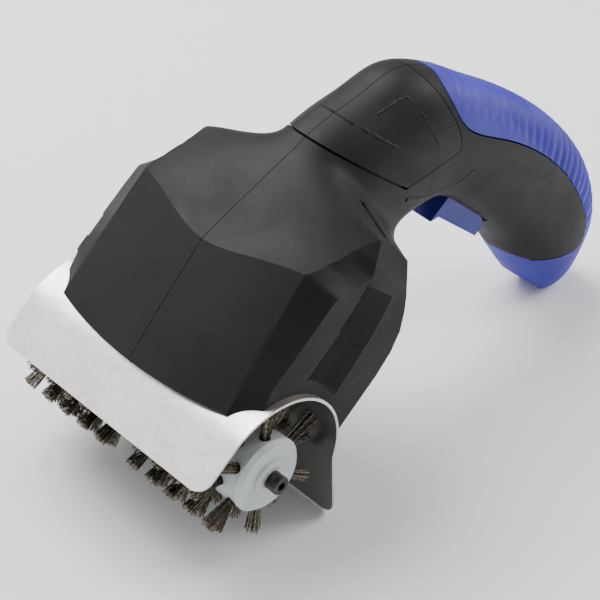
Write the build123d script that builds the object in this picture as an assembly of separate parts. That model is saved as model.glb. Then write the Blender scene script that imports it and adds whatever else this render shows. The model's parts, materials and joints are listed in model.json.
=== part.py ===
from build123d import *
import math
import os

# A cordless grill cleaning brush: a motor across a wide plastic head turns a wire roller
# under a bent steel hood, and the head leans back into a curved two-shell handle.
#
# Everything is drawn in the tool's own axes, in millimetres: X runs along the roller, to
# the tool's left, Y from the hood's front plate towards the handle, and Z up that plate.
# The roller's axis is Y = Z = 0. The last step lays the tool down as it lies on a table,
# on the hood's rear lip and the handle's foot, with the origin under the middle of its box.

# ---- Steel hood --------------------------------------------------------------------
HOOD_LENGTH = 105.0
SHEET = 1.0
ARCH_RADIUS = 30.5
ARCH_Y = 1.0
ARCH_Z = 1.2
PLATE_LEAN = 3.7
PLATE_DROP = 17.5
ARCH_END_ANGLE = 38.0
BEND_RADIUS = 7.5
FLARE_ANGLE = -32.0
FLARE_LENGTH = 29.0
HOOD_CORNER = 6.0

# ---- Where the handle's foot meets the table ---------------------------------------------
FOOT_Y = 163.5
FOOT_Z = 126.6

# ---- Roller -------------------------------------------------------------------------
TIP_RADIUS = 26.7
CORE_RADIUS = 14.3
CORE_INNER_X = 5.2
CORE_OUTER_X = 51.7
CORE_EDGE = 1.6
SHAFT_EDGE = 0.5
BOSS_RADIUS = 7.0
BOSS_HEIGHT = 1.2
TUFT_RINGS = 9
TUFTS_PER_RING = 6
TUFT_PHASE = 47.0
TUFT_ROOT_RADIUS = 2.0
TUFT_TIP_RADIUS = 3.6
TUFT_HOLE_DEPTH = 4.0
TUFT_EDGE_INSET = 4.4
TUFT_ARM_INSET = 3.6
SHAFT_RADIUS = 4.0
SHAFT_HALF_LENGTH = 47.0
END_SCREW_RADIUS = 2.0
END_SCREW_HEAD_RADIUS = 3.5
END_SCREW_HEAD = 4.0
END_SCREW_LENGTH = 14.0
END_SCREW_SOCKET = 3.0
END_SCREW_SOCKET_DEPTH = 2.2
END_SCREW_EDGE = 0.3
WASHER_RADIUS = 4.6
WASHER_HEIGHT = 0.8
SCREW_CLEARANCE = 0.15
TAP_OVERRUN = 1.0
HOOD_SCREW_X = 30.0
HOOD_SCREW_ANGLES = (66.0, 114.0)
HOOD_SCREW_HEAD = 1.3
HOOD_SCREW_REACH = 7.0

# ---- Drive arm, belt and motor ---------------------------------------------------------
ARM_HALF_WIDTH = 4.8
ARM_WALL = 1.6
MOTOR_Y = -5.0
MOTOR_Z = 62.0
ARM_TOP_RADIUS = 16.0
ARM_RUNNING_GAP = 0.9
BELT_WIDTH = 3.0
BELT_THICKNESS = 1.1
BELT_GAP = 0.06
PULLEY_WIDTH = 3.2
DRIVEN_PULLEY_RADIUS = 7.6
DRIVE_PULLEY_RADIUS = 3.8
BEARING_RADIUS = 6.0
BEARING_WIDTH = 2.5
BEARING_INNER_X = 1.8
RUNNING_CLEARANCE = 0.04
MOTOR_RADIUS = 13.85
MOTOR_LENGTH = 33.0
MOTOR_CAP_LENGTH = 5.0
MOTOR_NOSE_RADIUS = 5.0
MOTOR_NOSE = 2.0
MOTOR_SHAFT_RADIUS = 1.15
MOTOR_SCREW_RADIUS = 1.5
MOTOR_SCREW_CIRCLE = 8.0
MOTOR_SCREW_REACH = 3.0
MOTOR_SCREW_HEAD_RADIUS = 2.4
MOTOR_EDGE = 1.5
MOTOR_CAP_STEP = 0.4
MOTOR_TAIL = 1.5
TAB_SPACING = 16.0
TAB_LENGTH = 2.8
TAB_WIDTH = 2.8
TAB_THICKNESS = 0.6
SHIELD_GROOVE = 0.7
SHIELD_DEPTH = 0.3
ARM_SLOT_GAP = 0.5
ARM_SLOT_TOP = 40.0
ARM_SCREW_ANGLES = (90.0, 205.0, -25.0)
ARM_SCREW_INSET = 3.3

# ---- Plastic shells ------------------------------------------------------------------
WALL = 2.0
HOOD_SEAT_GAP = 0.05
RIM_RADIUS = 180.0
RIM_Z = 2.9
GRIP_THICKNESS = 1.8
GRIP_GAP = 0.15
SKIN_GAP = 0.05
COVER_THICKNESS = 1.5
COVER_GAP = 0.2
COVER_SEAM = 0.6
SCREW_RADIUS = 1.4
SCREW_HEAD_RADIUS = 2.9
SCREW_HEAD = 2.0
SCREW_BOSS_RADIUS = 3.6
SCREW_REACH = 10.0
SCREW_SEAT_X = 8.0
SCREW_WELL_GAP = 0.3
WELL_WALL = 1.5
VENT_HEIGHT = 9.0
VENT_LENGTH = 9.0
VENT_FRONT_Y = -32.0
VENT_LEVELS = (18.0, 33.6)
VENT_DEPTH = 1.2
SHOULDER_VENT_WIDTH = 4.0
SHOULDER_VENT_ENDS = ((45.0, -17.0, 84.0), (29.0, -19.5, 91.5))
CRADLE_X = (-14.0, -34.0)
CRADLE_WIDTH = 3.0
CRADLE_GAP = 0.05
ARM_POST_RADIUS = 6.0
ARM_POST_GAP = 0.05

# Where the shells are screwed together, as (Y, Z).
SCREW_PLACES = [
    (-25.0, 44.0), (22.0, 44.0), (16.0, 80.0), (-16.0, 101.0),
    (38.0, 128.0), (56.0, 160.5), (150.0, 160.0), (148.0, 134.0),
]

# The head, as level cuts: height, front centre, front corner, side front, side rear,
# rear corner and rear centre.
HEAD_CUTS = [
    (0.0, -32.6, (41.0, -28.3), (49.8, -28.0), (50.0, 21.5), (44.0, 30.5), 31.5),
    (23.6, -37.3, (40.4, -32.4), (49.7, -29.7), (50.0, 21.5), (44.0, 30.5), 31.5),
    (50.0, -41.6, (39.7, -37.3), (49.6, -29.8), (49.6, 20.5), (43.8, 29.8), 31.0),
    (59.5, -39.4, (39.4, -38.6), (49.4, -29.8), (49.2, 19.5), (43.2, 29.0), 30.6),
    (67.0, -37.6, (40.6, -33.1), (48.5, -23.0), (48.6, 17.0), (41.5, 28.6), 30.6),
    (73.3, -36.0, (41.4, -28.8), (47.7, -17.4), (47.8, 12.5), (37.8, 28.3), 31.0),
    (79.0, -34.7, (42.2, -25.0), (46.8, -16.4), (46.9, 7.0), (33.2, 28.5), 32.0),
    (84.7, -33.3, (42.8, -21.4), (45.6, -15.5), (45.6, 0.5), (28.0, 29.3), 33.2),
    (88.5, -32.4, (35.0, -21.9), (39.0, -14.5), (38.5, 4.0), (24.0, 31.0), 34.0),
    (92.6, -31.0, (23.5, -23.5), (28.0, -15.0), (28.0, 8.0), (18.5, 32.5), 34.6),
    (97.0, -28.0, (12.5, -24.5), (17.5, -14.0), (18.0, 12.0), (12.0, 29.0), 31.5),
]

# The neck and handle, as cuts across the grip's line: outer point, inner point, half width.
HANDLE_CUTS = [
    ((-28.0, 84.0), (28.0, 84.0), 20.0),
    ((-30.2, 96.0), (34.5, 97.0), 20.5),
    ((-26.3, 108.5), (39.5, 108.0), 20.5),
    ((-19.6, 122.3), (46.5, 117.0), 20.3),
    ((-10.8, 140.2), (53.0, 120.0), 20.0),
    ((6.8, 151.6), (61.5, 121.6), 19.6),
    ((28.0, 159.6), (73.0, 123.2), 19.2),
    ((51.6, 168.2), (86.0, 125.2), 18.9),
    ((76.4, 175.0), (99.0, 126.8), 18.6),
    ((100.2, 178.6), (113.0, 126.4), 18.6),
    ((121.0, 179.0), (127.0, 125.6), 18.5),
    ((138.6, 176.0), (141.0, 125.0), 18.0),
    ((152.4, 170.6), (154.0, 125.0), 16.8),
    ((163.4, 163.6), (163.2, 125.6), 14.0),
    ((170.4, 156.0), (168.2, 127.6), 8.5),
]
OVAL_POWER = 2.35
OVAL_STEPS = 6
TINY = 1e-9
CORNER_INSET_SHARE = 0.75
REAR_INSET_SHARE = 0.5

# Side-view outlines, as (Y, Z) points.
GRIP_OUTLINE = [
    (2.4, 190.0), (2.4, 149.2), (2.0, 146.8), (5.0, 144.6), (12.8, 141.8), (20.9, 141.0),
    (30.1, 143.4), (38.9, 146.9), (55.2, 153.6), (74.6, 159.4), (92.1, 162.6), (109.4, 163.8),
    (126.4, 162.7), (139.7, 160.4), (149.0, 155.6), (151.3, 151.0), (148.0, 146.9),
    (140.9, 140.0), (130.7, 131.8), (113.0, 124.0), (104.0, 115.0), (190.0, 115.0),
    (190.0, 190.0),
]
COVER_OUTLINE = [
    (-44.0, 95.6), (10.2, 108.9), (24.2, 132.0), (24.7, 134.6), (19.8, 137.5),
    (10.0, 140.2), (0.0, 142.4), (-6.9, 143.6), (-40.0, 149.5),
]
COVER_FRONT_GAP = 0.1
PLATE_OUTLINE = [(-23.3, 69.6), (-2.6, 73.2), (3.2, 36.0), (-6.2, 36.2), (-17.3, 33.0)]
PLATE_THICKNESS = 0.6

# ---- Trigger and switch -------------------------------------------------------------
TRIGGER_HALF_WIDTH = 9.5
TRIGGER_GAP = 0.4
TRIGGER_REAR_GAP = 0.7
TRIGGER_HOOK_Y = 54.8
TRIGGER_HOOK_Z = 111.0
TRIGGER_HOOK_THICKNESS = 2.6
TRIGGER_REAR_Y = 88.0
TRIGGER_REAR_Z = 121.0
TRIGGER_TOP_Z = 127.6
TRIGGER_LIP = 3.6
TRIGGER_SHOULDER = 3.0
PIVOT_Y = 59.2
PIVOT_Z = 126.6
PIVOT_BARREL_RADIUS = 4.3
PIN_RADIUS = 1.5
PIN_HALF_LENGTH = 12.6
PIN_BOSS_RADIUS = 3.4
SWITCH_Y = 68.5
SWITCH_BELOW_HOLDER = 0.7
SWITCH_LENGTH = 9.0
SWITCH_HEIGHT = 6.5
SWITCH_HALF_WIDTH = 2.9
PLUNGER_Y = 69.5
PLUNGER_RADIUS = 1.2
PLUNGER_GAP = 0.05
PLUNGER_DEPTH = 3.0
PLUNGER_TRAVEL = 1.2
PLUNGER_REST_GAP = 0.15
SPRING_Y = 83.0
SPRING_RADIUS = 2.0
SPRING_WIRE = 0.4
SPRING_TURNS = 5.0
SPRING_POCKET = 4.0
SPRING_POCKET_GAP = 0.8

# ---- Battery, board and charging socket ---------------------------------------------------
CELL_RADIUS = 9.2
CELL_LENGTH = 65.0
CELL_FRONT_Y = 74.5
UPPER_CELL_Z = 159.6
LOWER_CELL_Z = 141.0
CELL_GAP = 0.2
CELL_EDGE = 0.8
HOLDER_WALL = 1.0
HOLDER_WINDOW = 52.0
BOARD_X = 3.0
BOARD_THICKNESS = 1.6
BOARD_LENGTH = 38.0
BOARD_WIDTH = 28.0
BOARD_Y = 14.0
BOARD_Z = 122.0
BOARD_TILT = 62.0
POST_RADIUS = 3.0
POST_INSET = 3.5
BOARD_SCREW_HEAD_RADIUS = 2.3
BOARD_SCREW_HEAD = 1.6
BOARD_SCREW_REACH = 9.0
SOCKET_WIDTH = 9.2
SOCKET_HEIGHT = 3.4
SOCKET_DEPTH = 7.4
SOCKET_Z = 147.0
SOCKET_WALL = 0.4
SOCKET_TONGUE = 6.4
SOCKET_TONGUE_THICKNESS = 0.7
SOCKET_TONGUE_RECESS = 1.2

# ---- Sizes that follow from the ones above ----------------------------------------------
arm_low_radius = DRIVEN_PULLEY_RADIUS + BELT_THICKNESS + ARM_RUNNING_GAP + ARM_WALL
end_screw_seat = CORE_OUTER_X + BOSS_HEIGHT + WASHER_HEIGHT
end_screw_tip = end_screw_seat - END_SCREW_LENGTH
side_face_x = HEAD_CUTS[1][3][0]
butt_y = HANDLE_CUTS[-1][0][0]
hood_inner_radius = ARCH_RADIUS - SHEET
hood_head_drop = hood_inner_radius - math.sqrt(hood_inner_radius ** 2 - SCREW_HEAD_RADIUS ** 2)
holder_radius = CELL_RADIUS + CELL_GAP + HOLDER_WALL
holder_bottom = LOWER_CELL_Z - holder_radius
switch_z = holder_bottom - SWITCH_BELOW_HOLDER


# ---- Helpers --------------------------------------------------------------------------
def rod(radius, x0, x1, y=0.0, z=0.0):
    """A round bar along X from x0 to x1."""
    bar = Cylinder(radius, x1 - x0, align=(Align.CENTER, Align.CENTER, Align.MIN))
    return Pos(x0, y, z) * Rot(Y=90) * bar


def slab(x0, x1, y0, y1, z0, z1):
    """A box between two corners."""
    return Pos((x0 + x1) / 2, (y0 + y1) / 2, (z0 + z1) / 2) * Box(x1 - x0, y1 - y0, z1 - z0)


def side_prism(outline, x0, x1):
    """A side-view outline of (Y, Z) points, pushed out from x0 to x1."""
    face = make_face(Polyline([(y, z) for y, z in outline], close=True))
    return Pos(x0, 0, 0) * extrude(Plane.YZ * face, x1 - x0)


def round_link(low_radius, high_radius, x0, x1):
    """The flat link shape around the roller's and the motor's axes, from x0 to x1."""
    circles = Sketch() + Circle(low_radius) + Pos(MOTOR_Y, MOTOR_Z) * Circle(high_radius)
    return Pos(x0, 0, 0) * extrude(Plane.YZ * make_hull(circles.edges()), x1 - x0)


# ---- Hood ---------------------------------------------------------------------------
def hood_line(depth):
    """The hood's bent side-view line, a given depth in from its outer face."""
    radius = ARCH_RADIUS - depth
    start = math.radians(180 + PLATE_LEAN)
    top = Vector(ARCH_Y + radius * math.cos(start), ARCH_Z + radius * math.sin(start))
    up = Vector(math.sin(start), -math.cos(start))
    plate = Line(top - up * PLATE_DROP, top)
    arch = JernArc(top, up, radius, ARCH_END_ANGLE - 180 - PLATE_LEAN)
    turn = FLARE_ANGLE - (ARCH_END_ANGLE - 90)
    bend = JernArc(arch @ 1, arch % 1, BEND_RADIUS + depth, turn)
    flare = Line(bend @ 1, (bend @ 1) + (bend % 1) * FLARE_LENGTH)
    return [plate, arch, bend, flare]


def hood_space(clearance):
    """Everything under the hood's outer face, grown by a clearance."""
    line = hood_line(-clearance)
    first = line[0] @ 0
    last = line[-1] @ 1
    below_last = (last.X, -HOOD_LENGTH)
    below_first = (first.X, -HOOD_LENGTH)
    line += [Line(last, below_last), Line(below_last, below_first), Line(below_first, first)]
    return extrude(Plane.YZ * make_face(line), HOOD_LENGTH, both=True)


def arm_slot(gap):
    """The slot that the drive arm needs through the hood and the shells' floor."""
    half_width = ARM_HALF_WIDTH + gap
    slot = round_link(arm_low_radius + gap, ARM_TOP_RADIUS + gap, -half_width, half_width)
    return slot & slab(-half_width, half_width, -HOOD_LENGTH, HOOD_LENGTH, -HOOD_LENGTH, ARM_SLOT_TOP)


def stands_at(edge, tip):
    """Whether an edge's middle lies over a (Y, Z) tip of the hood's line, away from the middle."""
    middle = edge.center()
    off_centre = abs(middle.X) > HOOD_LENGTH / 4
    return off_centre and math.hypot(middle.Y - tip.X, middle.Z - tip.Y) < SHEET / 4


def make_hood():
    outer = hood_line(0)
    inner = hood_line(SHEET)
    caps = [Line(outer[-1] @ 1, inner[-1] @ 1), Line(inner[0] @ 0, outer[0] @ 0)]
    sheet = extrude(Plane.YZ * make_face(outer + inner + caps), HOOD_LENGTH / 2, both=True)
    tips = [caps[0] @ 0.5, caps[1] @ 0.5]
    corners = [edge for edge in sheet.edges() if any(stands_at(edge, tip) for tip in tips)]
    sheet = fillet(corners, HOOD_CORNER)
    sheet -= arm_slot(ARM_SLOT_GAP)
    for x, angle in hood_screw_places():
        sheet -= hood_screw_axis(x, angle) * Cylinder(SCREW_RADIUS + SCREW_CLEARANCE, 4 * SHEET)
    return sheet


def hood_screw_places():
    """Two screws each side of the arm, fore and aft on the arch: (x, angle on the arch)."""
    return [(x, angle) for x in (-HOOD_SCREW_X, HOOD_SCREW_X) for angle in HOOD_SCREW_ANGLES]


def hood_screw_axis(x, angle):
    """A frame on the hood's outer face with Z pointing out of the arch."""
    a = math.radians(angle)
    origin = (x, ARCH_Y + ARCH_RADIUS * math.cos(a), ARCH_Z + ARCH_RADIUS * math.sin(a))
    return Plane(origin=origin, x_dir=(1, 0, 0), z_dir=(0, math.cos(a), math.sin(a))).location


def make_hood_screws():
    """Low-headed screws from inside the hood up into the shells' bosses."""
    screws = []
    for x, angle in hood_screw_places():
        seat = -SHEET - hood_head_drop
        head = Pos(0, 0, seat - HOOD_SCREW_HEAD / 2) * Cylinder(SCREW_HEAD_RADIUS, HOOD_SCREW_HEAD)
        shank_length = HOOD_SCREW_REACH - seat
        shank = Pos(0, 0, seat + shank_length / 2) * Cylinder(SCREW_RADIUS, shank_length)
        screws.append(hood_screw_axis(x, angle) * (head + shank))
    return screws


# ---- Roller -------------------------------------------------------------------------
def tuft_places():
    """Where each tuft of the left roller stands: (x, angle about the roller in degrees)."""
    first = CORE_OUTER_X - TUFT_EDGE_INSET
    last = CORE_INNER_X + TUFT_ARM_INSET
    pitch = (first - last) / (TUFT_RINGS - 1)
    step = 360.0 / TUFTS_PER_RING
    return [
        (first - ring * pitch, TUFT_PHASE + (place + 0.5 * (ring % 2)) * step)
        for ring in range(TUFT_RINGS)
        for place in range(TUFTS_PER_RING)
    ]


def spoke(x, angle, side):
    """A frame on the roller's axis at side * x, with Z pointing out along a tuft."""
    return Pos(side * x, 0, 0) * Rot(X=angle)


def make_bristles(side):
    root = CORE_RADIUS - TUFT_HOLE_DEPTH
    straight = Pos(0, 0, root + TUFT_HOLE_DEPTH / 2) * Cylinder(TUFT_ROOT_RADIUS, TUFT_HOLE_DEPTH)
    fan_height = TIP_RADIUS - CORE_RADIUS
    cone = Cone(TUFT_ROOT_RADIUS, TUFT_TIP_RADIUS, fan_height)
    fan = Pos(0, 0, CORE_RADIUS + fan_height / 2) * cone
    tuft = straight + fan
    return [spoke(x, angle, side) * tuft for x, angle in tuft_places()]


def make_core(side):
    """One half's nylon core with its tuft holes: the right one, or the same mirrored."""
    core = rod(CORE_RADIUS, -CORE_OUTER_X, -CORE_INNER_X)
    core = chamfer(core.edges().filter_by(GeomType.CIRCLE), CORE_EDGE)
    core += rod(BOSS_RADIUS, -CORE_OUTER_X - BOSS_HEIGHT, -CORE_OUTER_X + BOSS_HEIGHT)
    core -= rod(SHAFT_RADIUS, -SHAFT_HALF_LENGTH, 0)
    core -= rod(END_SCREW_RADIUS + SCREW_CLEARANCE, -2 * CORE_OUTER_X, 0)
    hole = Pos(0, 0, CORE_RADIUS) * Cylinder(TUFT_ROOT_RADIUS, 2 * TUFT_HOLE_DEPTH)
    core -= [spoke(x, angle, -1) * hole for x, angle in tuft_places()]
    return core if side < 0 else mirror(core, Plane.YZ)


def make_roller_shaft():
    shaft = rod(SHAFT_RADIUS, -SHAFT_HALF_LENGTH, SHAFT_HALF_LENGTH)
    shaft = chamfer(shaft.edges().filter_by(GeomType.CIRCLE), SHAFT_EDGE)
    for side in (-1, 1):
        tapped = sorted((side * (end_screw_tip - TAP_OVERRUN), side * (SHAFT_HALF_LENGTH + TAP_OVERRUN)))
        shaft -= rod(END_SCREW_RADIUS, *tapped)
    return shaft


def make_washers():
    washers = []
    for side in (-1, 1):
        ends = sorted((side * (CORE_OUTER_X + BOSS_HEIGHT), side * end_screw_seat))
        washers.append(rod(WASHER_RADIUS, *ends) - rod(END_SCREW_RADIUS + SCREW_CLEARANCE, *ends))
    return washers


def make_end_screws():
    """Socket cap screws that hold the roller halves on the shaft."""
    screws = []
    for side in (-1, 1):
        face = end_screw_seat + END_SCREW_HEAD
        head = rod(END_SCREW_HEAD_RADIUS, *sorted((side * end_screw_seat, side * face)))
        head = chamfer(head.edges().filter_by(GeomType.CIRCLE), END_SCREW_EDGE)
        hexagon = RegularPolygon(END_SCREW_SOCKET / math.sqrt(3), 6)
        key = Rot(Y=90) * extrude(hexagon, END_SCREW_SOCKET_DEPTH / 2, both=True)
        socket = Pos(side * (face - END_SCREW_SOCKET_DEPTH / 2), 0, 0) * key
        shank = rod(END_SCREW_RADIUS, *sorted((side * end_screw_tip, side * end_screw_seat)))
        screws.append(head + shank - socket)
    return screws


def make_driven_pulley():
    half = PULLEY_WIDTH / 2
    return rod(DRIVEN_PULLEY_RADIUS, -half, half) - rod(SHAFT_RADIUS, -half, half)


def make_bearings():
    """A ball bearing each side of the driven pulley, drawn as one ring with a shield groove."""
    bearings = []
    for side in (-1, 1):
        ends = sorted((side * BEARING_INNER_X, side * (BEARING_INNER_X + BEARING_WIDTH)))
        ring = rod(BEARING_RADIUS, *ends) - rod(SHAFT_RADIUS + RUNNING_CLEARANCE, *ends)
        outer_face = side * (BEARING_INNER_X + BEARING_WIDTH)
        middle = (BEARING_RADIUS + SHAFT_RADIUS) / 2
        shield = sorted((outer_face, outer_face - side * SHIELD_DEPTH))
        groove = rod(middle + SHIELD_GROOVE / 2, *shield) - rod(middle - SHIELD_GROOVE / 2, *shield)
        bearings.append(ring - groove)
    return bearings


# ---- Drive arm and motor ----------------------------------------------------------------
def make_arm_case(side):
    """Half of the slim case that carries the bearings, the belt and the motor."""
    outer = round_link(arm_low_radius, ARM_TOP_RADIUS, *sorted((0, side * ARM_HALF_WIDTH)))
    pocket_low = arm_low_radius - ARM_WALL
    pocket_high = DRIVE_PULLEY_RADIUS + BELT_THICKNESS + ARM_RUNNING_GAP
    case = outer - round_link(pocket_low, pocket_high, *sorted((-side, side * BEARING_INNER_X)))
    seat = sorted((0, side * (BEARING_INNER_X + BEARING_WIDTH)))
    case -= rod(BEARING_RADIUS, *seat)
    case -= rod(SHAFT_RADIUS + ARM_RUNNING_GAP, *sorted((0, side * 2 * ARM_HALF_WIDTH)))
    if side < 0:
        nose_end = -ARM_HALF_WIDTH + MOTOR_NOSE
        case -= rod(MOTOR_NOSE_RADIUS, -2 * ARM_HALF_WIDTH, nose_end, MOTOR_Y, MOTOR_Z)
        case -= rod(DRIVE_PULLEY_RADIUS, -2 * ARM_HALF_WIDTH, 0, MOTOR_Y, MOTOR_Z)
        for y, z in motor_screw_places():
            case -= rod(MOTOR_SCREW_RADIUS + SCREW_CLEARANCE, -2 * ARM_HALF_WIDTH, 0, y, z)
            case -= rod(MOTOR_SCREW_HEAD_RADIUS + SCREW_CLEARANCE, -BEARING_INNER_X, 0, y, z)
    for y, z in arm_screw_places():
        case -= rod(SCREW_RADIUS, -ARM_HALF_WIDTH, ARM_HALF_WIDTH, y, z)
    return case


def arm_screw_places():
    """The three screws that clamp the case halves, clear of the belt's pocket."""
    reach = ARM_TOP_RADIUS - ARM_SCREW_INSET
    places = []
    for angle in ARM_SCREW_ANGLES:
        a = math.radians(angle)
        places.append((MOTOR_Y + reach * math.cos(a), MOTOR_Z + reach * math.sin(a)))
    return places


def motor_screw_places():
    """The motor's two face screws, fore and aft of its nose."""
    return [(MOTOR_Y + s * MOTOR_SCREW_CIRCLE, MOTOR_Z) for s in (-1, 1)]


def make_arm_screws():
    screws = []
    for y, z in arm_screw_places():
        head = rod(SCREW_HEAD_RADIUS, ARM_HALF_WIDTH, ARM_HALF_WIDTH + SCREW_HEAD, y, z)
        screws.append(head + rod(SCREW_RADIUS, -ARM_HALF_WIDTH, ARM_HALF_WIDTH, y, z))
    return screws


def make_motor_screws():
    """Face screws, reached through the belt's pocket before the case is closed."""
    screws = []
    for y, z in motor_screw_places():
        head = rod(MOTOR_SCREW_HEAD_RADIUS, -BEARING_INNER_X, 0, y, z)
        tip = -ARM_HALF_WIDTH - MOTOR_SCREW_REACH
        screws.append(head + rod(MOTOR_SCREW_RADIUS, tip, -BEARING_INNER_X, y, z))
    return screws


def make_belt():
    half = BELT_WIDTH / 2
    inner = round_link(DRIVEN_PULLEY_RADIUS + BELT_GAP, DRIVE_PULLEY_RADIUS + BELT_GAP, -half, half)
    reach = BELT_GAP + BELT_THICKNESS
    outer = round_link(DRIVEN_PULLEY_RADIUS + reach, DRIVE_PULLEY_RADIUS + reach, -half, half)
    return outer - inner


def make_motor_can():
    face = -ARM_HALF_WIDTH
    far = face - MOTOR_LENGTH
    can = rod(MOTOR_RADIUS, far, face, MOTOR_Y, MOTOR_Z)
    can = fillet(can.edges().filter_by(GeomType.CIRCLE).sort_by(Axis.X)[-1:], MOTOR_EDGE)
    can += rod(MOTOR_NOSE_RADIUS, face - MOTOR_NOSE, face + MOTOR_NOSE, MOTOR_Y, MOTOR_Z)
    can -= rod(MOTOR_SHAFT_RADIUS + RUNNING_CLEARANCE, far, 0, MOTOR_Y, MOTOR_Z)
    for y, z in motor_screw_places():
        can -= rod(MOTOR_SCREW_RADIUS, face - MOTOR_SCREW_REACH, 0, y, z)
    return can


def make_motor_cap():
    near = -ARM_HALF_WIDTH - MOTOR_LENGTH
    far = near - MOTOR_CAP_LENGTH
    cap = rod(MOTOR_RADIUS - MOTOR_CAP_STEP, far, near, MOTOR_Y, MOTOR_Z)
    cap += rod(MOTOR_NOSE_RADIUS, far - MOTOR_TAIL, near, MOTOR_Y, MOTOR_Z)
    cap -= rod(MOTOR_SHAFT_RADIUS + RUNNING_CLEARANCE, far, near, MOTOR_Y, MOTOR_Z)
    low, high = MOTOR_Z - TAB_WIDTH / 2, MOTOR_Z + TAB_WIDTH / 2
    for s in (-1, 1):
        inner = MOTOR_Y + s * TAB_SPACING / 2
        outer = inner + s * TAB_THICKNESS
        cap += slab(far - TAB_LENGTH, near, *sorted((inner, outer)), low, high)
    return cap


def make_motor_shaft():
    far = -ARM_HALF_WIDTH - MOTOR_LENGTH - MOTOR_CAP_LENGTH
    return rod(MOTOR_SHAFT_RADIUS, far, PULLEY_WIDTH / 2, MOTOR_Y, MOTOR_Z)


def make_drive_pulley():
    half = PULLEY_WIDTH / 2
    pulley = rod(DRIVE_PULLEY_RADIUS, -half, half, MOTOR_Y, MOTOR_Z)
    return pulley - rod(MOTOR_SHAFT_RADIUS, -half, half, MOTOR_Y, MOTOR_Z)


# ---- Shells --------------------------------------------------------------------------
def head_cut(cut, inset):
    """One level cut of the head, as a closed face, pulled in by an inset."""
    z, front_y, front, side_front, side_rear, rear, rear_y = cut
    diagonal = inset * CORNER_INSET_SHARE
    f = (front[0] - diagonal, front[1] + inset)
    sf = (side_front[0] - inset, side_front[1] + diagonal)
    sr = (side_rear[0] - inset, side_rear[1] - diagonal * REAR_INSET_SHARE)
    r = (rear[0] - diagonal, rear[1] - inset)
    line = [
        ThreePointArc((-f[0], f[1]), (0, front_y + inset), f),
        Line(f, sf),
        Line(sf, sr),
        Line(sr, r),
        ThreePointArc(r, (0, rear_y - inset), (-r[0], r[1])),
        Line((-r[0], r[1]), (-sr[0], sr[1])),
        Line((-sr[0], sr[1]), (-sf[0], sf[1])),
        Line((-sf[0], sf[1]), (-f[0], f[1])),
    ]
    return Pos(0, 0, z) * make_face(line)


def oval(half_width, half_depth):
    """A closed full oval, a little squarer than an ellipse, in four equal curves."""
    points = []
    for step in range(4 * OVAL_STEPS + 1):
        a = math.pi / 2 * step / OVAL_STEPS
        c, s = math.cos(a), math.sin(a)
        x = half_width * math.copysign(abs(c) ** (2 / OVAL_POWER), c)
        y = half_depth * math.copysign(abs(s) ** (2 / OVAL_POWER), s)
        points.append((x if abs(c) > TINY else 0, y if abs(s) > TINY else 0))
    points[-1] = points[0]
    ways = [(0, 1), (-1, 0), (0, -1), (1, 0), (0, 1)]
    quarters = []
    for q in range(4):
        quarter = points[OVAL_STEPS * q:OVAL_STEPS * (q + 1) + 1]
        quarters.append(Spline(quarter, tangents=ways[q:q + 2]))
    return make_face(quarters)


def handle_cuts():
    """The handle's cuts with one more halfway along each gap, on a smooth curve through them."""
    cuts = [(*outer, *inner, half_width) for outer, inner, half_width in HANDLE_CUTS]
    ended = [cuts[0]] + cuts + [cuts[-1]]
    close = []
    for before, near, far, after in zip(ended, ended[1:], ended[2:], ended[3:]):
        close.append(near)
        close.append([(9 * (b + c) - a - d) / 16 for a, b, c, d in zip(before, near, far, after)])
    return close + [cuts[-1]]


def handle_cut(cut, inset, pull=0.0):
    """One cut across the neck or handle, pulled in by an inset."""
    outer_y, outer_z, inner_y, inner_z, half_width = cut
    top = Vector(0, outer_y, outer_z)
    under = Vector(0, inner_y, inner_z)
    across = (under - top).normalized()
    along = Vector(1, 0, 0).cross(across)
    centre = (top + under) / 2 + along * pull
    plane = Plane(origin=centre, x_dir=(1, 0, 0), z_dir=along)
    return plane * oval(half_width - inset, (under - top).length / 2 - inset)


def handle_form(inset):
    """The neck and handle, pulled in by an inset."""
    *cuts, last = handle_cuts()
    faces = [handle_cut(cut, inset) for cut in cuts] + [handle_cut(last, inset, -inset)]
    return loft(faces, ruled=True)


def head_form(inset):
    """The head, pulled in by an inset."""
    return loft([head_cut(cut, inset) for cut in HEAD_CUTS], ruled=True)


def grown(outline, gap, x0, x1):
    """A side-view outline, grown by a gap and pushed out from x0 to x1."""
    face = make_face(Polyline([(y, z) for y, z in outline], close=True))
    return Pos(x0, 0, 0) * extrude(Plane.YZ * offset(face, gap, kind=Kind.INTERSECTION), x1 - x0)


def rim_space():
    """What lies below the nose's curved rim, in front of the hood's plate."""
    circle = Pos(0, RIM_Z + RIM_RADIUS) * Circle(RIM_RADIUS)
    middle = RIM_Z - HOOD_LENGTH / 2 + ARCH_RADIUS / 2
    block = Pos(0, middle) * Rectangle(2 * HOOD_LENGTH, HOOD_LENGTH)
    return extrude(Plane.XZ * (block - circle), 2 * ARCH_RADIUS)


def trigger_outline():
    """The trigger's side view as (Y, Z) points."""
    return [
        (TRIGGER_HOOK_Y, TRIGGER_HOOK_Z),
        (TRIGGER_HOOK_Y + TRIGGER_HOOK_THICKNESS, TRIGGER_HOOK_Z + TRIGGER_LIP),
        (TRIGGER_REAR_Y, TRIGGER_REAR_Z),
        (TRIGGER_REAR_Y, TRIGGER_TOP_Z - TRIGGER_SHOULDER),
        (TRIGGER_REAR_Y - TRIGGER_SHOULDER, TRIGGER_TOP_Z),
        (PIVOT_Y, TRIGGER_TOP_Z),
        (TRIGGER_HOOK_Y, PIVOT_Z),
    ]


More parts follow.
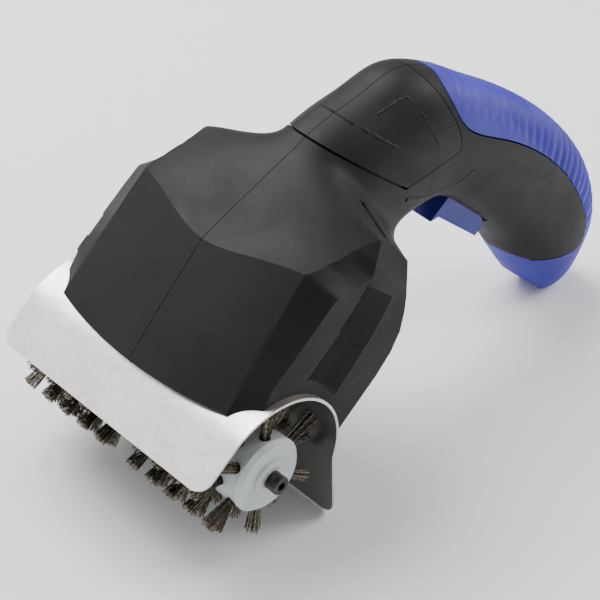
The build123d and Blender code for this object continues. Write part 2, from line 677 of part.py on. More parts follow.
def trigger_bay():
    """The room the trigger swings in, open below and up to the battery holder."""
    half_width = TRIGGER_HALF_WIDTH + TRIGGER_GAP
    front = TRIGGER_HOOK_Y - TRIGGER_GAP
    rear = TRIGGER_REAR_Y + TRIGGER_REAR_GAP
    outline = [
        (front, TRIGGER_HOOK_Z),
        (TRIGGER_HOOK_Y + TRIGGER_HOOK_THICKNESS, TRIGGER_HOOK_Z + TRIGGER_LIP),
        (rear, TRIGGER_REAR_Z),
        (rear, holder_bottom),
        (front, holder_bottom),
    ]
    return side_prism(outline, -half_width, half_width)


def screw_hole(y, z):
    """The well, the shank's hole and the thread's hole of one shell screw."""
    well = rod(SCREW_HEAD_RADIUS + SCREW_WELL_GAP, -2 * HOOD_LENGTH, -SCREW_SEAT_X, y, z)
    shank = rod(SCREW_RADIUS + SCREW_CLEARANCE, -SCREW_SEAT_X, 0, y, z)
    return well + shank + rod(SCREW_RADIUS, 0, SCREW_REACH + TAP_OVERRUN, y, z)


def make_shells():
    """Both shells: one outer form, hollowed, given its bosses and cut down the middle."""
    form = head_form(0) + handle_form(0)
    form = form - hood_space(HOOD_SEAT_GAP) - rim_space()
    cavity = head_form(WALL) + handle_form(WALL + GRIP_THICKNESS)
    cavity = cavity - hood_space(HOOD_SEAT_GAP + WALL)

    well_radius = SCREW_HEAD_RADIUS + SCREW_WELL_GAP + WELL_WALL
    reach = HOOD_LENGTH
    posts = [rod(well_radius, -reach, 0, y, z) for y, z in SCREW_PLACES]
    posts += [rod(SCREW_BOSS_RADIUS, 0, reach, y, z) for y, z in SCREW_PLACES]
    posts.append(rod(ARM_POST_RADIUS, ARM_HALF_WIDTH + ARM_POST_GAP, reach, MOTOR_Y, MOTOR_Z))
    for x in CRADLE_X:
        cradle = slab(x - CRADLE_WIDTH / 2, x + CRADLE_WIDTH / 2, -reach, reach, ARCH_RADIUS, MOTOR_Z)
        posts.append(cradle - rod(MOTOR_RADIUS + CRADLE_GAP, -reach, 0, MOTOR_Y, MOTOR_Z))
    for x, angle in hood_screw_places():
        length = 2 * HOOD_SCREW_REACH + WALL
        posts.append(hood_screw_axis(x, angle) * Cylinder(SCREW_BOSS_RADIUS, length))
    bay_wall = TRIGGER_HALF_WIDTH + TRIGGER_GAP
    for ends in ((bay_wall, reach), (-reach, -bay_wall)):
        posts.append(rod(PIN_BOSS_RADIUS, *ends, PIVOT_Y, PIVOT_Z))
    for place in board_posts():
        posts.append(rod(POST_RADIUS, BOARD_X + BOARD_THICKNESS / 2, reach, *place))
    solid = form - cavity + [post & cavity for post in posts]

    solid -= grown(GRIP_OUTLINE, GRIP_GAP, -reach, reach) - handle_form(GRIP_THICKNESS + SKIN_GAP)
    cover_seat = handle_form(COVER_THICKNESS + SKIN_GAP)
    solid -= grown(COVER_OUTLINE, COVER_GAP, -reach, reach) - cover_seat
    solid -= grown(PLATE_OUTLINE, GRIP_GAP, 0, reach) - head_form(PLATE_THICKNESS)
    solid -= arm_slot(ARM_SLOT_GAP)
    solid -= trigger_bay()
    solid -= rod(PIN_RADIUS, -PIN_HALF_LENGTH, PIN_HALF_LENGTH, PIVOT_Y, PIVOT_Z)
    for y, z in SCREW_PLACES:
        solid -= screw_hole(y, z)
    for x, angle in hood_screw_places():
        solid -= hood_screw_axis(x, angle) * Cylinder(SCREW_RADIUS, 2 * HOOD_SCREW_REACH)
    for place in board_posts():
        solid -= rod(SCREW_RADIUS, BOARD_X, BOARD_X + BOARD_SCREW_REACH, *place)
    solid -= socket_space(GRIP_GAP)
    for z in VENT_LEVELS:
        low, high = z - VENT_HEIGHT / 2, z + VENT_HEIGHT / 2
        rear = VENT_FRONT_Y + VENT_LENGTH
        solid -= slab(-reach, -side_face_x + VENT_DEPTH, VENT_FRONT_Y, rear, low, high)
    for side in (-1, 1):
        solid -= shoulder_vent(side)
    halves = [slab(*ends, -reach, 3 * reach, -reach, 3 * reach) for ends in ((0, reach), (-reach, 0))]
    return [(solid & half).solid().fix() for half in halves]


def shoulder_vent(side):
    """A slanting air slot across one shoulder, under the neck."""
    low, high = [Vector(side * x, y, z) for x, y, z in SHOULDER_VENT_ENDS]
    along = high - low
    plane = Plane(origin=low, z_dir=along)
    return Solid.make_cylinder(SHOULDER_VENT_WIDTH / 2, along.length, plane)


def board_posts():
    """The two places, as (Y, Z), where the circuit board is screwed to the left shell."""
    a = math.radians(BOARD_TILT)
    along = BOARD_LENGTH / 2 - POST_INSET
    return [(BOARD_Y + s * along * math.cos(a), BOARD_Z + s * along * math.sin(a)) for s in (-1, 1)]


def socket_space(gap):
    """The charging socket's block at the butt, grown by a gap."""
    front = butt_y - SOCKET_DEPTH - gap
    half_width = SOCKET_WIDTH / 2 + gap
    half_height = SOCKET_HEIGHT / 2 + gap
    low, high = SOCKET_Z - half_height, SOCKET_Z + half_height
    return slab(-half_width, half_width, front, butt_y + SOCKET_DEPTH, low, high)


def make_grip():
    """The soft grip over the top and back of the handle, down into its foot."""
    skin = handle_form(0) & side_prism(GRIP_OUTLINE, -HOOD_LENGTH, HOOD_LENGTH)
    return (skin - handle_form(GRIP_THICKNESS) - socket_space(GRIP_GAP)).solid().fix()


def make_cover(side):
    """One of the two thin covers let into the neck."""
    lifted = [(y, z + COVER_SEAM) for y, z in COVER_OUTLINE[:2]]
    ends = sorted((side * COVER_FRONT_GAP, side * HOOD_LENGTH))
    skin = handle_form(0) & side_prism(lifted + COVER_OUTLINE[2:], *ends)
    return (skin - handle_form(COVER_THICKNESS)).solid().fix()


def make_side_plate():
    """The plain plate let into the head's left face."""
    face = grown(PLATE_OUTLINE, 0, 0, HOOD_LENGTH)
    return (head_form(0) & face) - head_form(PLATE_THICKNESS - SKIN_GAP)


def make_shell_screws():
    screws = []
    for y, z in SCREW_PLACES:
        head = rod(SCREW_HEAD_RADIUS, -SCREW_SEAT_X - SCREW_HEAD, -SCREW_SEAT_X, y, z)
        screws.append(head + rod(SCREW_RADIUS, -SCREW_SEAT_X, SCREW_REACH, y, z))
    return screws


# ---- Trigger and switch -------------------------------------------------------------------
def make_trigger():
    width = TRIGGER_HALF_WIDTH
    body = side_prism(trigger_outline(), -width, width)
    body += rod(PIVOT_BARREL_RADIUS, -width, width, PIVOT_Y, PIVOT_Z)
    body -= rod(PIN_RADIUS + RUNNING_CLEARANCE, -width, width, PIVOT_Y, PIVOT_Z)
    pocket = Cylinder(SPRING_RADIUS + SPRING_POCKET_GAP, 2 * SPRING_POCKET)
    return body - Pos(0, SPRING_Y, TRIGGER_TOP_Z) * pocket


def make_trigger_pin():
    return rod(PIN_RADIUS, -PIN_HALF_LENGTH, PIN_HALF_LENGTH, PIVOT_Y, PIVOT_Z)


def make_spring():
    """The trigger's return spring, from its pocket up to the battery holder."""
    bottom = TRIGGER_TOP_Z - SPRING_POCKET + SPRING_WIRE
    top = holder_bottom - SPRING_WIRE
    height = top - bottom
    coil = Helix(pitch=height / SPRING_TURNS, height=height, radius=SPRING_RADIUS)
    wire = Plane(origin=coil @ 0, z_dir=coil % 0) * Circle(SPRING_WIRE)
    return Pos(0, SPRING_Y, bottom) * sweep(wire, path=coil, is_frenet=True)


def make_switch_body():
    block = Box(2 * SWITCH_HALF_WIDTH, SWITCH_LENGTH, SWITCH_HEIGHT)
    body = Pos(0, SWITCH_Y, switch_z + SWITCH_HEIGHT / 2) * block
    hole = Pos(0, PLUNGER_Y, switch_z) * Cylinder(PLUNGER_RADIUS + PLUNGER_GAP, 2 * PLUNGER_DEPTH)
    return body - hole


def make_plunger():
    bottom = TRIGGER_TOP_Z + PLUNGER_REST_GAP
    top = switch_z + PLUNGER_DEPTH - PLUNGER_TRAVEL
    return Pos(0, PLUNGER_Y, (bottom + top) / 2) * Cylinder(PLUNGER_RADIUS, top - bottom)


# ---- Battery and board -------------------------------------------------------------------
def along_y(radius, y0, y1, z):
    """A round bar along Y from y0 to y1 at a height z."""
    bar = Cylinder(radius, y1 - y0, align=(Align.CENTER, Align.CENTER, Align.MIN))
    return Pos(0, y0, z) * Rot(X=-90) * bar


def make_cells():
    cells = []
    for z in (UPPER_CELL_Z, LOWER_CELL_Z):
        cell = along_y(CELL_RADIUS, CELL_FRONT_Y, CELL_FRONT_Y + CELL_LENGTH, z)
        cells.append(fillet(cell.edges().filter_by(GeomType.CIRCLE), CELL_EDGE))
    return cells


def make_holder():
    """An open-sided sleeve with two end walls that the cells sit in."""
    upper, lower = [Pos(0, z) * Circle(holder_radius) for z in (UPPER_CELL_Z, LOWER_CELL_Z)]
    circles = Sketch() + upper + lower
    length = CELL_LENGTH + 2 * (CELL_GAP + HOLDER_WALL)
    start = CELL_FRONT_Y - CELL_GAP - HOLDER_WALL
    body = Pos(0, start + length, 0) * extrude(Plane.XZ * make_hull(circles.edges()), length)
    rear = CELL_FRONT_Y + CELL_LENGTH + CELL_GAP
    for z in (UPPER_CELL_Z, LOWER_CELL_Z):
        body -= along_y(CELL_RADIUS + CELL_GAP, CELL_FRONT_Y - CELL_GAP, rear, z)
    middle_y = CELL_FRONT_Y + CELL_LENGTH / 2
    middle_z = (UPPER_CELL_Z + LOWER_CELL_Z) / 2
    window = Box(4 * CELL_RADIUS, HOLDER_WINDOW, UPPER_CELL_Z - LOWER_CELL_Z)
    return body - Pos(0, middle_y, middle_z) * window


def make_board():
    board = Box(BOARD_THICKNESS, BOARD_LENGTH, BOARD_WIDTH)
    placed = Pos(BOARD_X, BOARD_Y, BOARD_Z) * Rot(X=BOARD_TILT) * board
    for place in board_posts():
        placed -= rod(SCREW_RADIUS + SCREW_CLEARANCE, 0, 2 * BOARD_X, *place)
    return placed


def make_board_screws():
    face = BOARD_X - BOARD_THICKNESS / 2
    screws = []
    for place in board_posts():
        head = rod(BOARD_SCREW_HEAD_RADIUS, face - BOARD_SCREW_HEAD, face, *place)
        screws.append(head + rod(SCREW_RADIUS, face, BOARD_X + BOARD_SCREW_REACH, *place))
    return screws


def make_socket():
    """The charging socket in the butt: a hollow metal mouth with its tongue."""
    depth = SOCKET_DEPTH - GRIP_THICKNESS
    middle = Pos(0, butt_y - GRIP_THICKNESS - depth / 2, SOCKET_Z)
    block = middle * Box(SOCKET_WIDTH, depth, SOCKET_HEIGHT)
    mouth = Box(SOCKET_WIDTH - 2 * SOCKET_WALL, depth, SOCKET_HEIGHT - 2 * SOCKET_WALL)
    tongue = Box(SOCKET_TONGUE, depth - SOCKET_TONGUE_RECESS, SOCKET_TONGUE_THICKNESS)
    block -= Pos(0, SOCKET_WALL, 0) * middle * mouth
    return block + Pos(0, -SOCKET_TONGUE_RECESS / 2, 0) * middle * tongue


# ---- Laying down and writing ---------------------------------------------------------------
def lie_down():
    """The move that lays the tool on its lip and foot, centred over the origin."""
    lip = hood_line(SHEET)[-1] @ 1
    angle = math.degrees(math.atan2(FOOT_Z - lip.Y, FOOT_Y - lip.X))
    return Rot(X=-angle) * Pos(0, -lip.X, -lip.Y)


def build():
    left, right = make_shells()
    return {
        "housing_left": left,
        "housing_right": right,
        "soft_grip": make_grip(),
        "neck_cover_left": make_cover(1),
        "neck_cover_right": make_cover(-1),
        "side_plate": make_side_plate(),
        "housing_screws": make_shell_screws(),
        "steel_hood": make_hood(),
        "hood_screws": make_hood_screws(),
        "arm_case_left": make_arm_case(1),
        "arm_case_right": make_arm_case(-1),
        "arm_case_screws": make_arm_screws(),
        "motor_can": make_motor_can(),
        "motor_end_cap": make_motor_cap(),
        "motor_screws": make_motor_screws(),
        "motor_shaft": make_motor_shaft(),
        "drive_pulley": make_drive_pulley(),
        "drive_belt": make_belt(),
        "driven_pulley": make_driven_pulley(),
        "roller_bearings": make_bearings(),
        "roller_shaft": make_roller_shaft(),
        "roller_core_left": make_core(1),
        "roller_core_right": make_core(-1),
        "bristles_left": make_bristles(1),
        "bristles_right": make_bristles(-1),
        "roller_washers": make_washers(),
        "roller_end_screws": make_end_screws(),
        "trigger": make_trigger(),
        "trigger_pin": make_trigger_pin(),
        "trigger_spring": make_spring(),
        "switch_body": make_switch_body(),
        "switch_plunger": make_plunger(),
        "battery_cells": make_cells(),
        "battery_holder": make_holder(),
        "circuit_board": make_board(),
        "board_screws": make_board_screws(),
        "charging_socket": make_socket(),
    }


def main():
    os.makedirs("parts", exist_ok=True)
    nodes = build()
    move = lie_down()
    laid = {}
    for name, shape in nodes.items():
        laid[name] = move * Compound(shape if isinstance(shape, list) else [shape])
    box = Compound(list(laid.values())).bounding_box()
    centre = Pos(-(box.min.X + box.max.X) / 2, -(box.min.Y + box.max.Y) / 2, -box.min.Z)
    for name, shape in laid.items():
        export_step(centre * shape, f"parts/{name}.step")
    print("tool axes to row axes:", centre * move)
    print("size", box.size)


main()
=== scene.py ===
# %% [markdown]
# # A cordless grill brush, dressed over its working model
#
# The working model already holds every real piece of the tool: the two housing shells, the steel
# hood, the roller with its wire tufts, the motor, the trigger and what sits inside. This lesson
# gives those pieces their looks. First the model is loaded as a fixed frame. Nothing in it moves,
# so each new piece is placed by the same numbers that the model was built with.

import json
import math
import random

import bmesh
import bpy
import numpy as np
from mathutils import Matrix, Vector
from mathutils.bvhtree import BVHTree

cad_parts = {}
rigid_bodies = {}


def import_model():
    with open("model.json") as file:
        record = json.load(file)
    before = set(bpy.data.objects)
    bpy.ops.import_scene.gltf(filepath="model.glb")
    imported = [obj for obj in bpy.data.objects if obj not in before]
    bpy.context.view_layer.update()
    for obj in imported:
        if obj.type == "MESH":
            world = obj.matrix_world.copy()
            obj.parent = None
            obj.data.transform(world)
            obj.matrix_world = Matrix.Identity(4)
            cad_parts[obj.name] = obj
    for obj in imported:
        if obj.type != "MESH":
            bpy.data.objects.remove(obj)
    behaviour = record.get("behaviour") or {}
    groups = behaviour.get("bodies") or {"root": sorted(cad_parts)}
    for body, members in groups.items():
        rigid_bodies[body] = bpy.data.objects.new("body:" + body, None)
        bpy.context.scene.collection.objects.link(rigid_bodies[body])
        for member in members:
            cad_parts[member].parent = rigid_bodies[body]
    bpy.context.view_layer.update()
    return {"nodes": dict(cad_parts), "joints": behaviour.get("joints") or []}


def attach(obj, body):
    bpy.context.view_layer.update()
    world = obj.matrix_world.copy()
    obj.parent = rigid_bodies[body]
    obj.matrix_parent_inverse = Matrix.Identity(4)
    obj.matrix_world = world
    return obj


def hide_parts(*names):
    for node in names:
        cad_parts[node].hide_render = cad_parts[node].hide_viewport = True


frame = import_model()
nodes = frame["nodes"]

# %% [markdown]
# ## The tool's own axes
#
# The tool lies on its lip and its foot, so its own axes are tilted against the table. All the
# numbers below are millimetres in the tool's axes: X along the roller to the tool's left, Y back
# towards the handle and Z up the hood's front plate, with the roller's axis at Y = Z = 0. Two
# joints of the model say where those axes lie: the roller's and the motor's.

# %% Find the move from the tool's axes to the model's
joints = {joint["name"]: joint for joint in frame["joints"]}
roller_at = Vector(joints["roller_spin"]["pos_m"])
motor_at = Vector(joints["motor_spin"]["pos_m"])
MOTOR_YZ = (-5.0, 62.0)
up_the_arm = motor_at - roller_at
lean = math.atan2(up_the_arm.z, up_the_arm.y) - math.atan2(MOTOR_YZ[1], MOTOR_YZ[0])
MM = 0.001
TO_MODEL = Matrix.Translation(roller_at) @ Matrix.Rotation(lean, 4, "X") @ Matrix.Scale(MM, 4)
print("the tool leans", round(math.degrees(lean), 2), "degrees")

# %% [markdown]
# ## The camera
#
# The picture was taken with a long lens from the front left, a little above. The camera's place
# and its three directions were found by fitting straight edges and known lengths of the tool, and
# are given in the tool's axes. A 120 mm lens on a 36 mm sensor gives the same perspective.

# %% Set the camera
def place(name, data):
    """A new object in the scene round a mesh, a camera or a lamp."""
    obj = bpy.data.objects.new(name, data)
    bpy.context.scene.collection.objects.link(obj)
    return obj


LENS_MM = 120.0
SENSOR_MM = 36.0
NEAREST_SEEN_M = 0.05
CAMERA_AT = Vector((388.183, -581.832, 8.58))
CAMERA_RIGHT = Vector((0.69569, 0.39348, 0.60099))
CAMERA_DOWN = Vector((0.47998, 0.36784, -0.79644))
CAMERA_AHEAD = Vector((-0.53445, 0.84254, 0.06704))
turn = Matrix.Rotation(lean, 3, "X")
directions = [turn @ CAMERA_RIGHT, turn @ -CAMERA_DOWN, turn @ -CAMERA_AHEAD]
pose = Matrix(directions).transposed().to_4x4()
pose.translation = TO_MODEL @ CAMERA_AT
lens = bpy.data.cameras.new("photo_lens")
lens.lens = LENS_MM
lens.sensor_width = SENSOR_MM
lens.clip_start = NEAREST_SEEN_M
camera = place("photo_camera", lens)
camera.matrix_world = pose
bpy.context.scene.camera = camera
print("camera", [round(v, 3) for v in pose.translation])

# %% [markdown]
# ## Small helpers for meshes
#
# Blender meshes can be made straight from lists of points and faces. These helpers turn points in
# tool millimetres into an object, bake a modifier into a plain mesh, and let a mesh ride on one
# of the model's bodies in place of a plain node.


# %% Mesh helpers
def make_mesh(name, points, faces):
    """A new object from points in tool millimetres, not yet on any body."""
    mesh = bpy.data.meshes.new(name)
    mesh.from_pydata([tuple(p) for p in points], [], [tuple(f) for f in faces])
    mesh.update()
    return place(name, mesh)


def from_bmesh(name, form):
    """A new object from a bmesh, which is then let go."""
    mesh = bpy.data.meshes.new(name)
    form.to_mesh(mesh)
    form.free()
    return place(name, mesh)


def face_out(obj):
    """Turn all faces of a closed mesh so that they point outwards."""
    form = bmesh.new()
    form.from_mesh(obj.data)
    bmesh.ops.recalc_face_normals(form, faces=form.faces)
    form.to_mesh(obj.data)
    form.free()


def bake(obj):
    """Replace an object's mesh by what its modifiers make of it."""
    graph = bpy.context.evaluated_depsgraph_get()
    baked = bpy.data.meshes.new_from_object(obj.evaluated_get(graph))
    obj.modifiers.clear()
    obj.data = baked


def drop(obj):
    """Throw away a helper object."""
    bpy.data.objects.remove(obj)


def joined(name, objects):
    """Several objects as one new mesh in their place."""
    form = bmesh.new()
    for obj in objects:
        form.from_mesh(obj.data)
        drop(obj)
    return from_bmesh(name, form)


print("mesh helpers ready")

# %% Helpers that settle and shade
NEW_PIECES = {}
SHARP_ANGLE = 35.0
BODY_SHARP_ANGLE = 22.0


def settle(obj, body, slot, *stands_for):
    """Move a tool-millimetre mesh into the model's frame and let it ride on a body."""
    NEW_PIECES[obj.name] = slot
    obj.data.transform(TO_MODEL)
    obj.data.update()
    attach(obj, body)
    if stands_for:
        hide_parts(*stands_for)


def smooth_shaded(obj, angle=SHARP_ANGLE):
    """Smooth shading that keeps edges sharper than an angle."""
    obj.data.shade_smooth()
    obj.data.set_sharp_from_angle(angle=math.radians(angle))
    return obj


print("sharper than", SHARP_ANGLE, "degrees stays an edge")

# %% [markdown]
# ## One smooth form for the whole plastic body
#
# The real shells are one flowing form, cut down the middle. It is drawn here from level cuts of
# the head and cross cuts of the handle. Between the given cuts the numbers are joined by curves
# that never overshoot, so the long corner edges stay where they are and the surface between them
# is smooth. A head cut is its level Z, the Y of the front's middle, the X and Y of its four
# corners from front to back, and the Y of the back's middle. A handle cut is the Y and Z of its
# outer and its inner end, and its half width.

# %% The cuts
FLARE_CUTS = [
    (-34.0, -44.8, 45.0, -60.0, 54.0, -54.0, 54.0, 39.2, 55.0, 41.5, 38.2),
    (36.0, -44.8, 45.0, -60.0, 54.0, -54.0, 54.0, 39.2, 55.0, 41.5, 38.2),
    (40.0, -43.9, 46.0, -58.5, 54.0, -53.0, 54.0, 36.3, 54.0, 40.0, 37.0),
    (50.0, -41.6, 46.0, -47.5, 54.0, -43.0, 54.0, 31.0, 50.0, 36.5, 35.0),
    (59.5, -39.4, 46.0, -38.3, 53.0, -33.0, 53.0, 26.0, 47.0, 33.5, 33.5),
    (67.0, -37.6, 46.0, -31.8, 52.0, -27.0, 52.0, 20.0, 45.0, 32.0, 32.5),
    (73.3, -36.0, 46.0, -27.1, 51.0, -21.0, 51.0, 16.0, 41.0, 31.0, 33.0),
    (79.0, -34.7, 46.0, -23.2, 50.0, -18.0, 50.0, 10.0, 36.5, 31.0, 34.0),
    (84.7, -33.3, 45.5, -19.8, 48.5, -15.5, 48.5, 3.0, 31.0, 31.5, 35.0),
    (88.5, -32.4, 35.0, -21.9, 39.0, -14.5, 38.5, 4.0, 24.0, 31.0, 34.0),
    (92.6, -31.0, 23.5, -23.5, 28.0, -15.0, 28.0, 8.0, 18.5, 32.5, 34.6),
    (97.0, -28.0, 12.5, -24.5, 17.5, -14.0, 18.0, 12.0, 12.0, 29.0, 31.5),
]
BLOCK_CUTS = [
    (-34.0, -26.0, 42.0, -21.0, 49.9, -10.0, 50.0, 21.5, 44.0, 30.5, 31.5),
    (2.0, -33.0, 41.8, -28.4, 49.9, -16.0, 50.0, 21.5, 44.0, 30.5, 31.5),
    (16.0, -35.7, 41.6, -31.1, 49.8, -25.6, 50.0, 21.5, 44.0, 30.5, 31.5),
    (23.6, -37.2, 41.1, -32.6, 49.7, -28.4, 50.0, 21.5, 44.0, 30.5, 31.5),
    (50.0, -41.6, 39.7, -37.3, 49.6, -29.6, 49.6, 20.5, 43.8, 29.8, 31.0),
    (59.5, -43.1, 39.4, -38.6, 49.4, -29.8, 49.2, 19.5, 43.2, 29.0, 30.6),
    (67.0, -44.3, 35.4, -39.7, 48.5, -23.0, 48.6, 17.0, 41.5, 28.6, 30.6),
    (73.3, -45.3, 34.9, -40.6, 47.7, -17.4, 47.8, 12.5, 37.8, 28.3, 31.0),
    (77.3, -45.9, 30.3, -41.1, 47.0, -19.6, 47.2, 8.7, 34.8, 28.4, 31.7),
    (84.7, -47.0, 22.0, -42.2, 43.8, -20.4, 45.6, 0.5, 28.0, 29.3, 33.2),
    (92.0, -48.2, 15.0, -43.0, 41.0, -19.0, 43.0, -6.0, 24.0, 31.0, 36.0),
]
HANDLE_CUTS = [
    (-28.0, 84.0, 28.0, 84.0, 20.0),
    (-30.2, 96.0, 34.5, 97.0, 20.5),
    (-26.3, 108.5, 39.5, 108.0, 20.5),
    (-19.6, 122.3, 46.5, 117.0, 20.3),
    (-10.8, 140.2, 53.0, 120.0, 20.0),
    (6.8, 151.6, 61.5, 121.6, 19.6),
    (28.0, 159.6, 73.0, 123.2, 19.2),
    (51.6, 168.2, 86.0, 125.2, 18.9),
    (76.4, 175.0, 99.0, 126.8, 18.6),
    (100.2, 178.6, 113.0, 126.4, 18.6),
    (121.0, 179.0, 127.0, 125.6, 18.5),
    (138.6, 176.0, 141.0, 125.0, 18.0),
    (152.4, 170.6, 154.0, 125.0, 16.2),
    (163.4, 163.6, 163.2, 125.6, 12.6),
    (176.0, 155.0, 174.0, 129.5, 8.0),
]


def steady_curve(keys, rows, at):
    """Rows joined by a cubic that doesn't overshoot, read at new keys."""
    keys, rows, at = np.asarray(keys, float), np.asarray(rows, float), np.asarray(at, float)
    gaps = np.diff(keys)[:, None]
    slopes = np.diff(rows, axis=0) / gaps
    tangents = np.zeros_like(rows)
    tangents[0], tangents[-1] = slopes[0], slopes[-1]
    same_way = slopes[:-1] * slopes[1:] > 0
    total = np.where(same_way, slopes[:-1] + slopes[1:], 1.0)
    tangents[1:-1] = np.where(same_way, 2 * slopes[:-1] * slopes[1:] / total, 0.0)
    k = np.clip(np.searchsorted(keys, at, side="right") - 1, 0, len(keys) - 2)
    h = gaps[k]
    t = ((at - keys[k]) / gaps[k, 0])[:, None]
    first = (1 + 2 * t) * (1 - t) ** 2 * rows[k] + t * (1 - t) ** 2 * h * tangents[k]
    return first + t**2 * (3 - 2 * t) * rows[k + 1] + t**2 * (t - 1) * h * tangents[k + 1]


cut_counts = [len(cuts) for cuts in (FLARE_CUTS, BLOCK_CUTS, HANDLE_CUTS)]
print("flare, block and handle cuts:", cut_counts)


# %% Rings of points for the head and the handle
FRONT_POINTS = 60
BACK_POINTS = 50
EDGE_STEPS = (10, 40, 10)
HANDLE_POINTS = 96
OVAL_POWER = 2.35


def bowed(middle_y, end_x, end_y, z, count):
    """Level points from -end_x to end_x on a bow, without the last one."""
    across = np.linspace(-end_x, end_x, count)[:-1]
    return [(x, middle_y + (end_y - middle_y) * (x / end_x) ** 2, z) for x in across]


def edges_along(corners, side, z):
    """Level points along the three straight edges between four corners, on one side."""
    out = []
    for (x0, y0), (x1, y1), steps in zip(corners, corners[1:], EDGE_STEPS):
        for k in range(steps):
            out.append((side * (x0 + (x1 - x0) * k / steps), y0 + (y1 - y0) * k / steps, z))
    return out


def head_ring(z, front_y, fx, fy, sx, sy, rx, ry, bx, by, rear_y):
    """One level ring: curved front, chamfer, side, chamfer and curved back."""
    corners = [(fx, fy), (sx, sy), (rx, ry), (bx, by)]
    front = bowed(front_y, fx, fy, z, FRONT_POINTS)
    back = bowed(rear_y, -bx, by, z, BACK_POINTS)
    return front + edges_along(corners, 1, z) + back + edges_along(corners[::-1], -1, z)


def handle_ring(outer_y, outer_z, inner_y, inner_z, half_width):
    """One oval ring across the handle, a little squarer than an ellipse."""
    top, under = Vector((0, outer_y, outer_z)), Vector((0, inner_y, inner_z))
    middle, half = (top + under) / 2, (top - under) / 2
    ring = []
    for k in range(HANDLE_POINTS):
        a = 2 * math.pi * k / HANDLE_POINTS
        c, s = math.cos(a), math.sin(a)
        across = half_width * math.copysign(abs(c) ** (2 / OVAL_POWER), c)
        up = math.copysign(abs(s) ** (2 / OVAL_POWER), s)
        ring.append(middle + Vector((across, 0, 0)) + half * up)
    return ring


print("a head ring has", len(head_ring(*FLARE_CUTS[0])), "points")


# %% Forms through the rings
ROW_STEP = 1.0
ROWS_BETWEEN = 10


def skin_rings(rings):
    """Points and faces of a closed form through rings with equal point counts."""
    count = len(rings[0])
    points = [p for ring in rings for p in ring]
    faces = []
    for low in range(0, (len(rings) - 1) * count, count):
        for k in range(count):
            n = (k + 1) % count
            faces.append((low + k, low + n, low + count + n, low + count + k))
    faces.append(tuple(range(count))[::-1])
    faces.append(tuple((len(rings) - 1) * count + k for k in range(count)))
    return points, faces


def even_levels(cuts):
    """Heights in even steps from the first cut to the last."""
    return np.arange(cuts[0][0], cuts[-1][0] + 0.1 * ROW_STEP, ROW_STEP)


def head_form(name, heights, rows):
    """A closed form through level rings of the head."""
    return make_mesh(name, *skin_rings([head_ring(z, *row) for z, row in zip(heights, rows)]))


def between(rows, parts):
    """Rows with more set between them on a smooth curve through all of them."""
    rows = np.asarray(rows, float)
    ended = np.vstack([rows[0], rows, rows[-1]])
    out = []
    for a, b, c, d in zip(ended, ended[1:], ended[2:], ended[3:]):
        for k in range(parts):
            t = k / parts
            square, cube = 2 * a - 5 * b + 4 * c - d, 3 * b - a - 3 * c + d
            out.append(0.5 * (2 * b + (c - a) * t + square * t**2 + cube * t**3))
    return out + [rows[-1]]


heights = even_levels(FLARE_CUTS)
flare_rows = steady_curve([c[0] for c in FLARE_CUTS], [c[1:] for c in FLARE_CUTS], heights)
flare = head_form("flare", heights, flare_rows)
heights = even_levels(BLOCK_CUTS)
columns = list(zip(*BLOCK_CUTS))
block_rows = zip(*[np.interp(heights, columns[0], column) for column in columns[1:]])
block = head_form("block", heights, block_rows)
handle_rows = between(HANDLE_CUTS, ROWS_BETWEEN)
handle_form = make_mesh("handle_form", *skin_rings([handle_ring(*row) for row in handle_rows]))
print("flare", len(flare.data.vertices), "points, handle", len(handle_form.data.vertices), "points")

# %% [markdown]
# ## Melt the two forms together
#
# The head has two kinds of surface. Round the neck's root it is one soft flare, and below that
# it is a block with crisp corners. A voxel remesh turns the flare and the handle into one even
# skin, as if they were dipped in wax, and the points near the root are then relaxed again and
# again, which makes the soft hollow there. Everything outside the block is cut away afterwards,
# so the block's faces stay flat and meet the flare in crisp lines.

# %% Helpers for many points at once
def relax(points, edges, strength, rounds):
    """Draw each point towards the middle of its neighbours, by its own strength."""
    count = len(points)
    neighbours = np.bincount(edges.ravel(), minlength=count)[:, None]
    for _ in range(rounds):
        total = np.empty_like(points)
        for axis in range(3):
            ends = points[:, axis]
            total[:, axis] = np.bincount(edges[:, 0], ends[edges[:, 1]], count) + np.bincount(
                edges[:, 1], ends[edges[:, 0]], count
            )
        points += strength[:, None] * (total / neighbours - points)
    return points


def read_points(mesh):
    """A mesh's points as an array."""
    flat = np.empty(len(mesh.vertices) * 3)
    mesh.vertices.foreach_get("co", flat)
    return flat.reshape(-1, 3)


def read_edges(mesh):
    """A mesh's edges as an array of point numbers."""
    flat = np.empty(len(mesh.edges) * 2, dtype=np.int64)
    mesh.edges.foreach_get("vertices", flat)
    return flat.reshape(-1, 2)


def write_points(mesh, points):
    """Put an array of points back into a mesh."""
    mesh.vertices.foreach_set("co", points.ravel())
    mesh.update()


def ramp(values, low, high):
    """0 below low, 1 above high, smooth between."""
    t = np.clip((values - low) / (high - low), 0, 1)
    return t * t * (3 - 2 * t)


print("a ramp from 0 to 1 is", ramp(0.25, 0, 1), "a quarter of the way along")

